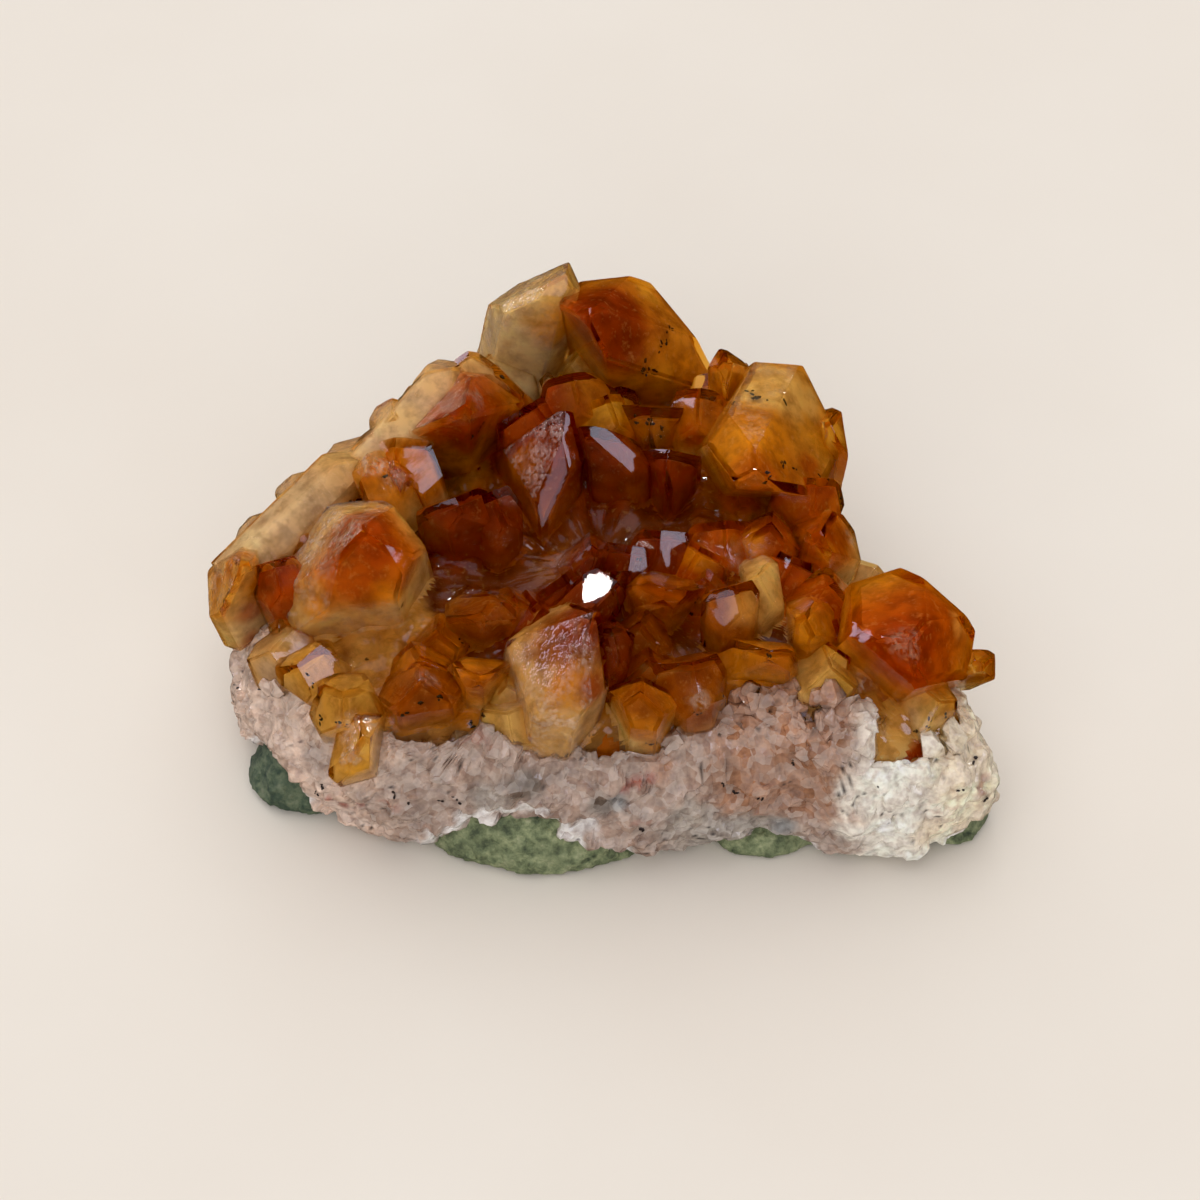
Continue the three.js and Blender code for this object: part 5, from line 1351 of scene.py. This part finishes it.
# ---- quartz matrix ------------------------------------------------------
def quartz_mesh():
    n = 620
    plan = closed_curve(OUTLINE, n)
    length = np.linalg.norm(plan, axis=1, keepdims=True)
    levels = np.array([[0.5, 0, 1.5, .5], [0.93, 0, 1.1, .3], [1, .9, 1.9, .5], [1, 0, 5.2, 1], [1, .4, 9.8, 1.1],
                       [1, 1.6, 13.4, 1.1], [1, 3.8, 16.2, .9], [1, 5.6, 16.6, .9], [1, 7.6, 13.6, .6], [0.7, 0, 12.6, 0], [0.12, 0, 12.6, 0]])
    counts = [3, 3, 8, 12, 10, 7, 6, 8, 4, 3]
    rows = []
    for a in range(len(levels) - 1):
        for t in np.linspace(0, 1, counts[a], endpoint=False):
            sc, inset, z, rough = levels[a] * (1 - t) + levels[a + 1] * t
            # in front the quartz climbs over the roots in three places
            px, py = plan[:, 0], plan[:, 1]
            climb = np.maximum(np.maximum(step01(1 - np.abs(px - 22) / 15, 0, 0.5), 0.8 * step01(1 - np.abs(px + 14) / 6.5, 0, 0.5)),
                               0.85 * step01(1 - np.abs(px + 38) / 8, 0, 0.5)) * step01(-py, 3, 9) * float(np.clip((z - 12.8) / 2, 0, 1)) * (inset > 2)
            p = plan * sc * (length - inset * (1 + 0.42 * climb[:, None])) / length
            q = np.column_stack([p, z + 2.7 * climb])
            k = fbm(q / 4.6 + 11, 2, 101) * 1.2
            q[:, :2] *= (1 + rough * k[:, None] / np.maximum(length, 1))
            q[:, 2] += rough * 0.9 * vn(np.column_stack([p / 3.4, np.full(len(p), z * 0.1)]), 103)
            rows.append(q + SHIFT)
    return rows


rows = quartz_mesh()
v, f = loft(rows)


def vertex_normals(v, f):
    n = np.zeros_like(v)
    fn = np.cross(v[f[:, 1]] - v[f[:, 0]], v[f[:, 2]] - v[f[:, 0]])
    for k in range(3):
        np.add.at(n, f[:, k], fn)
    return n / np.maximum(np.linalg.norm(n, axis=1, keepdims=True), 1e-12)


nv = vertex_normals(v, f)


g1, e1, e2, _ = grains(v + 0.3 * fbm(v / 2.0, 2, 5)[:, None], 3.4, 0.74, 201)
g2, f1, f2, rnd = grains(v + 0.2 * fbm(v / 1.2, 2, 7)[:, None], 1.7, 0.34, 231)
h = g1 + g2 + 0.10 * vn(v / 0.7, 251)
wall = step01(v[:, 2], 0.4, 1.6)
v = v + nv * (h * wall)[:, None]
v[:, 2] = np.maximum(v[:, 2], 0.35)
bare = step01(-lump_level(v), -2.2, -0.2) * step01(v[:, 2], 0.3, 1.2)
v[:, :2] -= (v[:, :2] - SHIFT[:2]) / np.maximum(np.linalg.norm(v[:, :2] - SHIFT[:2], axis=1, keepdims=True), 1) * (1.5 * bare)[:, None]
# painted shade: the quartz colour is darker in the furrows between grains, times a random tone for each grain
furrow_shade_and_grain_tone = (0.74 + 0.26 * np.clip((f2 - f1) / 0.22, 0, 1)) * (0.80 + 0.20 * np.clip((e2 - e1) / 0.14, 0, 1)) * (1 + 0.14 * rnd[:, 1])
quartz = make_object("quartz", v * MM, f)

# small milky crystals that climb from the matrix over the roots in front
skin = BVHTree.FromObject(glass, bpy.context.evaluated_depsgraph_get())
buds = [quartz]
rb = np.random.default_rng(83)
plan = closed_curve(OUTLINE, 720)
for x0, x1, near, far, top, n in ((8, 31, 2.6, 9.0, 22.5, 150), (-21, -8.5, 3.0, 6.0, 19.5, 30), (2.5, 8, 3.0, 5.0, 19.0, 12),
                                  (-43, -31, 2.8, 5.4, 20.0, 30), (35, 47, 2.6, 7.0, 21.0, 34)):
    for k in range(n):
        x = rb.uniform(x0, x1)
        edge = plan[np.argmin(np.abs(plan[:, 0] - x) + 100 * (plan[:, 1] > -4))]
        y = edge[1] + rb.uniform(near, far)
        hit = skin.ray_cast(Vector(((x + SHIFT[0]) * MM, (y + SHIFT[1]) * MM, 0.2)), Vector((0, 0, -1)))[0]
        size = rb.uniform(1.2, 2.2)
        d = rb.normal(size=(15, 3))
        if hit is None or hit.z > top * MM:
            continue
        d /= np.linalg.norm(d, axis=1, keepdims=True)
        at = np.array(hit) / MM + np.array([0, 0, -0.42 * size])
        bm = bmesh.new()
        for q in d:
            bm.verts.new(tuple((at + q * size * np.array([1, 1, 1.15])) * MM))
        res = bmesh.ops.convex_hull(bm, input=list(bm.verts))
        loose = [e for e in res["geom_interior"] if isinstance(e, bmesh.types.BMVert)]
        bmesh.ops.delete(bm, geom=loose, context="VERTS")
        bmesh.ops.recalc_face_normals(bm, faces=list(bm.faces))
        mb = bpy.data.meshes.new("bud")
        bm.to_mesh(mb)
        bm.free()
        ob = bpy.data.objects.new("bud", mb)
        bpy.context.scene.collection.objects.link(ob)
        buds.append(ob)
quartz = union("quartz", buds)
triangulate(quartz)
keep_large(quartz)
v = coords(quartz.data) / MM
g1, e1, e2, _ = grains(v + 0.4 * fbm(v / 2.0, 2, 5)[:, None], 3.2, 0.66, 201)
g2, f1, f2, rnd = grains(v + 0.3 * fbm(v / 1.2, 2, 7)[:, None], 1.5, 0.30, 231)
# painted shade: the quartz colour is darker in the furrows between grains, times a random tone for each grain
furrow_shade_and_grain_tone = (0.82 + 0.18 * np.clip((f2 - f1) / 0.22, 0, 1)) * (0.84 + 0.16 * np.clip((e2 - e1) / 0.14, 0, 1)) * (1 + 0.12 * rnd[:, 1])
smooth_by_angle(quartz, 32)


# ---- basalt rind --------------------------------------------------------
src = frame["nodes"]["basalt_rind"]
rind = bpy.data.objects.new("basalt", src.data.copy())
rind.data.materials.clear()
bpy.context.scene.collection.objects.link(rind)
md = rind.modifiers.new("net", "REMESH")
md.mode = "VOXEL"
md.voxel_size = 0.00050
md.adaptivity = 0.0
dg = bpy.context.evaluated_depsgraph_get()
rm = bpy.data.meshes.new_from_object(rind.evaluated_get(dg))
rind.modifiers.clear()
old = rind.data
rind.data = rm
bpy.data.meshes.remove(old)
for k in list(rm.attributes.keys()):
    if k in ("TEXCOORD_0", "UVMap"):
        rm.attributes.remove(rm.attributes[k])
triangulate(rind)
v = coords(rm) / MM
nr = np.zeros(len(rm.vertices) * 3)
rm.vertices.foreach_get("normal", nr)
nr = nr.reshape(-1, 3)
gb, b1, b2, brnd = grains(v + 0.25 * fbm(v / 1.1, 2, 8)[:, None], 1.15, 0.34, 301)
hb = gb + 0.25 * fbm(v / 2.6, 3, 303) + 0.10 * vn(v / 0.45, 305)
free = step01(v[:, 2], 0.05, 1.2)
v = v + nr * (hb * free)[:, None]
v[:, 2] = np.where(free > 0, np.maximum(v[:, 2], 0.02), v[:, 2])
rm.vertices.foreach_set("co", (v * MM).ravel())
rm.update()
smooth_by_angle(rind, 45)


# ---- materials ----------------------------------------------------------
class Nodes:
    """A short way to write a node tree."""

    def __init__(self, name):
        self.mat = bpy.data.materials.new(name)
        self.mat.use_nodes = True
        self.t = self.mat.node_tree
        self.t.nodes.clear()
        self.out = self.t.nodes.new("ShaderNodeOutputMaterial")

    def new(self, kind, **inputs):
        n = self.t.nodes.new(kind)
        for k, val in inputs.items():
            key = k.replace("_", " ")
            if hasattr(n, k) and key not in n.inputs:
                setattr(n, k, val)
            elif isinstance(val, bpy.types.NodeSocket):
                self.t.links.new(val, n.inputs[key])
            else:
                n.inputs[key].default_value = val
        return n

    def link(self, a, b):
        self.t.links.new(a, b)

    def attr(self, name):
        n = self.t.nodes.new("ShaderNodeAttribute")
        n.attribute_name = name
        return n

    def pos(self):
        return self.t.nodes.new("ShaderNodeTexCoord").outputs["Object"]

    def math(self, op, a, b=None, c=None, clamp=False):
        n = self.t.nodes.new("ShaderNodeMath")
        n.operation = op
        n.use_clamp = clamp
        for i, x in enumerate((a, b, c)):
            if x is None:
                continue
            if isinstance(x, bpy.types.NodeSocket):
                self.t.links.new(x, n.inputs[i])
            else:
                n.inputs[i].default_value = x
        return n.outputs[0]

    def mix(self, fac, a, b, mode="MIX"):
        n = self.t.nodes.new("ShaderNodeMix")
        n.data_type = "RGBA"
        n.blend_type = mode
        for sock, x in ((n.inputs[0], fac), (n.inputs[6], a), (n.inputs[7], b)):
            if isinstance(x, bpy.types.NodeSocket):
                self.t.links.new(x, sock)
            elif isinstance(x, tuple):
                sock.default_value = (*x, 1.0)[:4]
            else:
                sock.default_value = x
        return n.outputs[2]

    def ramp(self, fac, stops):
        n = self.t.nodes.new("ShaderNodeValToRGB")
        e = n.color_ramp.elements
        while len(e) < len(stops):
            e.new(0.5)
        for el, (at, col) in zip(e, stops):
            el.position = at
            el.color = (*col, 1.0) if isinstance(col, tuple) else (col, col, col, 1.0)
        self.t.links.new(fac, n.inputs[0])
        return n.outputs[0]

    def noise(self, scale, detail=3.0, rough=0.5, vec=None, dist=0.0):
        n = self.t.nodes.new("ShaderNodeTexNoise")
        n.inputs["Scale"].default_value = scale
        n.inputs["Detail"].default_value = detail
        n.inputs["Roughness"].default_value = rough
        n.inputs["Distortion"].default_value = dist
        self.t.links.new(vec if vec else self.pos(), n.inputs["Vector"])
        return n.outputs[0]

    def voronoi(self, scale, feature="F1", vec=None, out="Distance"):
        n = self.t.nodes.new("ShaderNodeTexVoronoi")
        n.feature = feature
        n.inputs["Scale"].default_value = scale
        self.t.links.new(vec if vec else self.pos(), n.inputs["Vector"])
        return n.outputs[out]

    def bump(self, height, strength, distance, normal=None):
        n = self.t.nodes.new("ShaderNodeBump")
        n.inputs["Strength"].default_value = strength
        n.inputs["Distance"].default_value = distance
        self.t.links.new(height, n.inputs["Height"])
        if normal:
            self.t.links.new(normal, n.inputs["Normal"])
        return n.outputs[0]

    def range(self, x, a, b, lo=0.0, hi=1.0):
        n = self.t.nodes.new("ShaderNodeMapRange")
        self.t.links.new(x, n.inputs[0])
        for i, val in enumerate((a, b, lo, hi)):
            n.inputs[i + 1].default_value = val
        return n.outputs[0]


def citrine_material():
    g = Nodes("citrine_glass")
    b = g.t.nodes.new("ShaderNodeBsdfPrincipled")
    b.distribution = "GGX"
    b.inputs["IOR"].default_value = 1.544
    b.inputs["Metallic"].default_value = 0.0
    frost = g.attr("frost").outputs["Fac"]
    prism = g.attr("prism").outputs["Fac"]
    axial = g.attr("axial").outputs["Fac"]
    tint = g.attr("tint").outputs["Color"]
    sugar = g.noise(1700, 1, 0.7)
    # etched faces scatter a little light at their pits
    body = g.math("MULTIPLY", frost, g.range(sugar, 0.36, 0.60, 0.0, 0.55), clamp=True)
    g.link(g.mix(body, tint, (0.80, 0.62, 0.58)), b.inputs["Base Color"])
    g.link(g.math("SUBTRACT", 1.0, g.math("MULTIPLY", body, 0.55)), b.inputs["Transmission Weight"])
    g.link(g.math("MULTIPLY_ADD", frost, 0.15, 0.015), b.inputs["Roughness"])
    # growth lines across the prism faces, pits on etched ones, a slight unevenness everywhere
    w = g.t.nodes.new("ShaderNodeTexNoise")
    w.noise_dimensions = "1D"
    w.inputs["Scale"].default_value = 4.5
    w.inputs["Detail"].default_value = 2.0
    w.inputs["Roughness"].default_value = 0.7
    g.link(axial, w.inputs["W"])
    lines = g.math("MULTIPLY", w.outputs[0], g.math("MULTIPLY_ADD", prism, 0.9, 0.06))
    h = g.math("ADD", g.math("MULTIPLY", lines, 0.00009),
               g.math("MULTIPLY", g.math("MULTIPLY", sugar, g.math("ADD", frost, 0.010)), 0.00062))
    bump = g.t.nodes.new("ShaderNodeBump")
    bump.inputs["Strength"].default_value = 0.6
    bump.inputs["Distance"].default_value = 1.0
    g.link(h, bump.inputs["Height"])
    g.link(bump.outputs[0], b.inputs["Normal"])
    g.link(b.outputs[0], g.out.inputs["Surface"])
    vol = g.t.nodes.new("ShaderNodeVolumeAbsorption")
    vol.inputs["Color"].default_value = (0.95, 0.74, 0.08, 1.0)
    vol.inputs["Density"].default_value = 330.0
    g.link(vol.outputs[0], g.out.inputs["Volume"])
    return g.mat


def zones_material():
    g = Nodes("colour_zones")
    b = g.t.nodes.new("ShaderNodeBsdfPrincipled")
    b.distribution = "GGX"
    tone = g.attr("tone").outputs["Color"]
    cloud = g.noise(480, 3, 0.6)
    wisp = g.noise(950, 3, 0.7)
    c = g.mix(g.range(cloud, 0.42, 0.66, 0.0, 0.62), tone, g.mix(1.0, tone, (0.42, 0.28, 0.20), "MULTIPLY"))
    c = g.mix(g.range(wisp, 0.56, 0.70, 0.0, 0.55), c, g.mix(0.5, (0.90, 0.60, 0.30), tone))
    g.link(c, b.inputs["Base Color"])
    b.inputs["Roughness"].default_value = 0.55
    b.inputs["IOR"].default_value = 1.5
    g.link(b.outputs[0], g.out.inputs["Surface"])
    return g.mat


def quartz_material():
    g = Nodes("milky_quartz")
    b = g.t.nodes.new("ShaderNodeBsdfPrincipled")
    b.distribution = "GGX"
    tone = g.attr("tone").outputs["Color"]
    grain = g.noise(900, 2, 0.65)
    cell = g.t.nodes.new("ShaderNodeTexVoronoi")
    cell.inputs["Scale"].default_value = 900
    g.link(g.pos(), cell.inputs["Vector"])
    sep = g.t.nodes.new("ShaderNodeSeparateColor")
    g.link(cell.outputs["Color"], sep.inputs[0])
    c = g.mix(g.range(grain, 0.42, 0.66, 0.0, 0.70), tone, g.mix(1.0, tone, (0.55, 0.47, 0.46), "MULTIPLY"))
    c = g.mix(g.math("MULTIPLY", sep.outputs[0], 0.22), c, (0.95, 0.88, 0.82))
    c = g.mix(g.attr("speck").outputs["Fac"], c, (0.030, 0.022, 0.020))
    g.link(c, b.inputs["Base Color"])
    g.link(g.range(sep.outputs[1], 0.0, 1.0, 0.10, 0.40), b.inputs["Roughness"])
    b.inputs["IOR"].default_value = 1.544
    hgt = g.math("ADD", g.math("MULTIPLY", cell.outputs["Distance"], 0.9), g.math("MULTIPLY", grain, 0.7))
    g.link(g.bump(hgt, 0.5, 0.0006), b.inputs["Normal"])
    g.link(b.outputs[0], g.out.inputs["Surface"])
    return g.mat


def basalt_material():
    g = Nodes("basalt")
    b = g.t.nodes.new("ShaderNodeBsdfPrincipled")
    b.distribution = "GGX"
    n1 = g.noise(650, 3, 0.7)
    n2 = g.noise(170, 2, 0.6)
    c = g.ramp(n1, [(0.30, (0.040, 0.056, 0.030)), (0.46, (0.150, 0.185, 0.090)), (0.60, (0.280, 0.315, 0.165)), (0.78, (0.44, 0.44, 0.28))])
    teal = g.attr("teal").outputs["Fac"]
    c = g.mix(g.range(n2, 0.45, 0.65, 0.0, 0.45), c, (0.16, 0.19, 0.10))
    c = g.mix(teal, c, (0.012, 0.045, 0.042))
    g.link(c, b.inputs["Base Color"])
    b.inputs["Roughness"].default_value = 0.85
    g.link(g.bump(g.math("ADD", n1, g.math("MULTIPLY", g.noise(1900, 1), 0.4)), 0.9, 0.0004), b.inputs["Normal"])
    g.link(b.outputs[0], g.out.inputs["Surface"])
    return g.mat


def speck_material():
    g = Nodes("dark_inclusions")
    b = g.t.nodes.new("ShaderNodeBsdfPrincipled")
    b.distribution = "GGX"
    g.link(g.ramp(g.noise(2500, 3, 0.6), [(0.3, (0.008, 0.005, 0.004)), (0.7, (0.045, 0.026, 0.018))]), b.inputs["Base Color"])
    b.inputs["Roughness"].default_value = 0.35
    g.link(b.outputs[0], g.out.inputs["Surface"])
    return g.mat


# dark grains sealed in the crystals and lying in the quartz
sv, sf = [], []
unit = bmesh.new()
bmesh.ops.create_icosphere(unit, subdivisions=2, radius=1.0)
uv = np.array([v.co[:] for v in unit.verts])
uf = np.array([[v.index for v in f.verts] for f in unit.faces])
unit.free()
turn = 0
for number, place, r, out_way, in_quartz in SPECKS:
    n = np.array(out_way, float)
    n /= np.linalg.norm(n)
    a = np.cross(n, [0.3, 0.8, 0.52])
    a /= np.linalg.norm(a)
    c = np.cross(n, a)
    for k in range(number):
        turn += 1
        q = _hash(np.full(12, turn), np.arange(12), np.full(12, 9), 501)
        size = 0.13 + 0.10 * abs(q[0]) + 0.04 * r * abs(q[1])
        at = np.array(place) + a * r * 0.9 * q[2] + c * r * 0.9 * q[3] - n * (0.0 if in_quartz else 0.45 + 0.25 * abs(q[4]))
        stretch = np.array([1 + 0.9 * abs(q[5]), 1 - 0.3 * abs(q[6]), 0.6])
        rot = q[7] * math.pi
        ax, cx = a * math.cos(rot) + c * math.sin(rot), c * math.cos(rot) - a * math.sin(rot)
        body = uv * stretch * size * (1 + 0.35 * vn(uv * 1.4 + turn * 5.1, 503))[:, None]
        sf.append(uf + len(uv) * len(sv))
        sv.append(at + body[:, :1] * ax + body[:, 1:2] * cx + body[:, 2:] * n)
specks = make_object("inclusions", np.vstack(sv) * MM, np.vstack(sf))
smooth_by_angle(specks, 50)

me = quartz.data
P = coords(me) / MM - SHIFT
# the quartz colour times its painted furrow shade and random grain tone
tone = quartz_tone(P + SHIFT) * furrow_shade_and_grain_tone[:, None]
lum = lump_level(P + SHIFT)
rim = step01(-np.abs(lum - 0.7), -0.9, -0.2)
tone = mix3(tone, np.array([0.90, 0.88, 0.86]), rim * 0.85)
red = step01(fbm(np.column_stack([P[:, 0] / 6.0, P[:, 1] / 6.0, P[:, 2] / 0.8]), 2, 411), 0.35, 0.6) * step01(vn(P / 5.0, 415), 0.2, 0.5)
tone = mix3(tone, np.array([0.30, 0.08, 0.04]), 0.6 * red)
lv = np.zeros(len(me.loops), np.int64)
me.loops.foreach_get("vertex_index", lv)
put_color(me, "tone", np.clip(tone, 0, 0.92)[lv])
c1, c2, _, cr = cells(P / np.array([0.9, 0.9, 0.6]), 421)
gate = step01(vn(P / 3.2, 431), 0.15, 0.5)
speck = step01(-c1, -0.34, -0.22) * gate * (cr[:, 0] > 0.1)
put_float(me, "speck", speck[lv])

me = rind.data
P = coords(me) / MM
edge = np.zeros(len(P))
teal = np.maximum(step01(P[:, 2] + 1.2 * fbm(P / 1.8, 2, 441), 7.0, 8.6), 0.55 * step01(-P[:, 0], 26, 30))
lvb = np.zeros(len(me.loops), np.int64)
me.loops.foreach_get("vertex_index", lvb)
put_float(me, "teal", teal[lvb])

for ob, mat in ((glass, citrine_material()), (core, zones_material()), (quartz, quartz_material()), (rind, basalt_material()),
                (specks, speck_material())):
    ob.data.materials.clear()
    ob.data.materials.append(mat)
    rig.ride(ob, "root")
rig.replaces(glass, "citrine_crystals")
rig.replaces(quartz, "quartz_matrix")
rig.replaces(rind, "basalt_rind")
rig.slot(glass, "citrine")
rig.slot(core, "citrine")
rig.slot(quartz, "milky_quartz")
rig.slot(rind, "basalt")
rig.slot(specks, "citrine")


# ---- floor, light and camera --------------------------------------------
floor = make_object("floor", [(-4, -4, 0), (4, -4, 0), (4, 4, 0), (-4, 4, 0)], [(0, 1, 2, 3)])
g = Nodes("pale_floor")
b = g.t.nodes.new("ShaderNodeBsdfPrincipled")
b.distribution = "GGX"
c = g.mix(g.range(g.noise(9, 4, 0.55), 0.35, 0.7, 0.0, 1.0), (0.80, 0.745, 0.675), (0.765, 0.70, 0.625))
g.link(c, b.inputs["Base Color"])
b.inputs["Roughness"].default_value = 0.75
b.inputs["Specular IOR Level"].default_value = 0.15
g.link(b.outputs[0], g.out.inputs["Surface"])
floor.data.materials.append(g.mat)
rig.stage(floor)
floor.visible_glossy = False   # the facets mirror only the panels

scene = bpy.context.scene
world = bpy.data.worlds.new("studio")
scene.world = world
world.use_nodes = True
t = world.node_tree
t.nodes.clear()
out = t.nodes.new("ShaderNodeOutputWorld")
bg = t.nodes.new("ShaderNodeBackground")
t.links.new(bg.outputs[0], out.inputs[0])
tc = t.nodes.new("ShaderNodeTexCoord")


def lobe(az, el, inner, outer, color, power):
    """A soft round patch of light in the sky, az from +Y toward +X."""
    d = (math.sin(math.radians(az)) * math.cos(math.radians(el)), math.cos(math.radians(az)) * math.cos(math.radians(el)),
         math.sin(math.radians(el)))
    dot = t.nodes.new("ShaderNodeVectorMath")
    dot.operation = "DOT_PRODUCT"
    dot.inputs[1].default_value = d
    t.links.new(tc.outputs["Generated"], dot.inputs[0])
    mr = t.nodes.new("ShaderNodeMapRange")
    mr.interpolation_type = "SMOOTHSTEP"
    mr.inputs["From Min"].default_value = math.cos(math.radians(outer))
    mr.inputs["From Max"].default_value = math.cos(math.radians(inner))
    t.links.new(dot.outputs["Value"], mr.inputs["Value"])
    sc = t.nodes.new("ShaderNodeVectorMath")
    sc.operation = "SCALE"
    sc.inputs[0].default_value = tuple(c * power for c in color)
    t.links.new(mr.outputs[0], sc.inputs["Scale"])
    return sc.outputs[0]


lobes = [
    lobe(-12, 62, 14, 54, (1.0, 0.985, 0.96), 1.42),    # main soft light, high behind
    lobe(-168, 30, 12, 60, (1.0, 0.985, 0.965), 1.15),   # fill from the front
]
total = None
for s in lobes:
    if total is None:
        total = s
    else:
        add = t.nodes.new("ShaderNodeVectorMath")
        t.links.new(total, add.inputs[0])
        t.links.new(s, add.inputs[1])
        total = add.outputs[0]
add = t.nodes.new("ShaderNodeVectorMath")
add.inputs[0].default_value = (0.34, 0.34, 0.355)
t.links.new(total, add.inputs[1])
t.links.new(add.outputs[0], bg.inputs["Color"])
bg.inputs["Strength"].default_value = 1.0
# the facets don't mirror the sky but these panels, as in a room with a few windows
world.cycles_visibility.glossy = False


def panel(name, az, el, half_angle, color, radiance, away=1.6):
    lamp = bpy.data.lights.new(name, "AREA")
    lamp.shape = "DISK"
    lamp.size = 2 * away * math.tan(math.radians(half_angle))
    lamp.color = color
    lamp.energy = radiance * 4 * math.pi * (lamp.size / 2) ** 2
    ob = bpy.data.objects.new(name, lamp)
    bpy.context.scene.collection.objects.link(ob)
    way = Vector((math.sin(math.radians(az)) * math.cos(math.radians(el)), math.cos(math.radians(az)) * math.cos(math.radians(el)),
                  math.sin(math.radians(el))))
    ob.location = Vector((0, -6.19 * MM, 25 * MM)) + away * way
    ob.rotation_euler = way.to_track_quat("Z", "Y").to_euler()
    ob.visible_camera = False
    ob.visible_diffuse = False
    ob.visible_transmission = False
    return ob


panel("ceiling", -12, 62, 38, (0.92, 0.88, 1.0), 0.45)
panel("left_window", -67, 8, 9, (0.86, 0.80, 1.0), 3.6)
panel("right_window", 100, 25, 15, (0.84, 0.82, 1.0), 3.0)
panel("wall_behind_camera", -169, 42, 12, (0.86, 0.80, 1.0), 1.3)
panel("left_rear_window", -116, 14, 8, (0.86, 0.84, 1.0), 1.5)
panel("lamp", -35, 40, 5.5, (1.0, 0.99, 0.97), 24)
panel("lamp_far", 30, 24, 3.5, (1.0, 0.98, 0.95), 20)
panel("lamp_low", -62, 34, 3.0, (1.0, 0.98, 0.95), 20)

cam = bpy.data.cameras.new("camera")
cam.sensor_width = 36
cam.lens = 36 * 480 / 145.1
cam.clip_start = 0.02
cam.clip_end = 20
co = bpy.data.objects.new("camera", cam)
scene.collection.objects.link(co)
target = Vector((0, -6.19 * MM, 15 * MM))
el = math.radians(50)
co.location = target + 0.480 * Vector((0, -math.cos(el), math.sin(el)))
co.rotation_euler = (math.pi / 2 - el, 0, 0)
scene.camera = co
scene.view_settings.view_transform = "Standard"
scene.view_settings.look = "None"
scene.view_settings.use_curve_mapping = True
scene.view_settings.curve_mapping.black_level = (0.002, 0.002, 0.002)
scene.view_settings.curve_mapping.update()

with open("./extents.json", "w") as fh:
    json.dump({"cad": cad_box, "visual": [[float(v) for v in c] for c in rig.bounds()]}, fh)
print("faces:", {o.name: len(o.data.polygons) for o in (glass, core, quartz, rind, specks)})
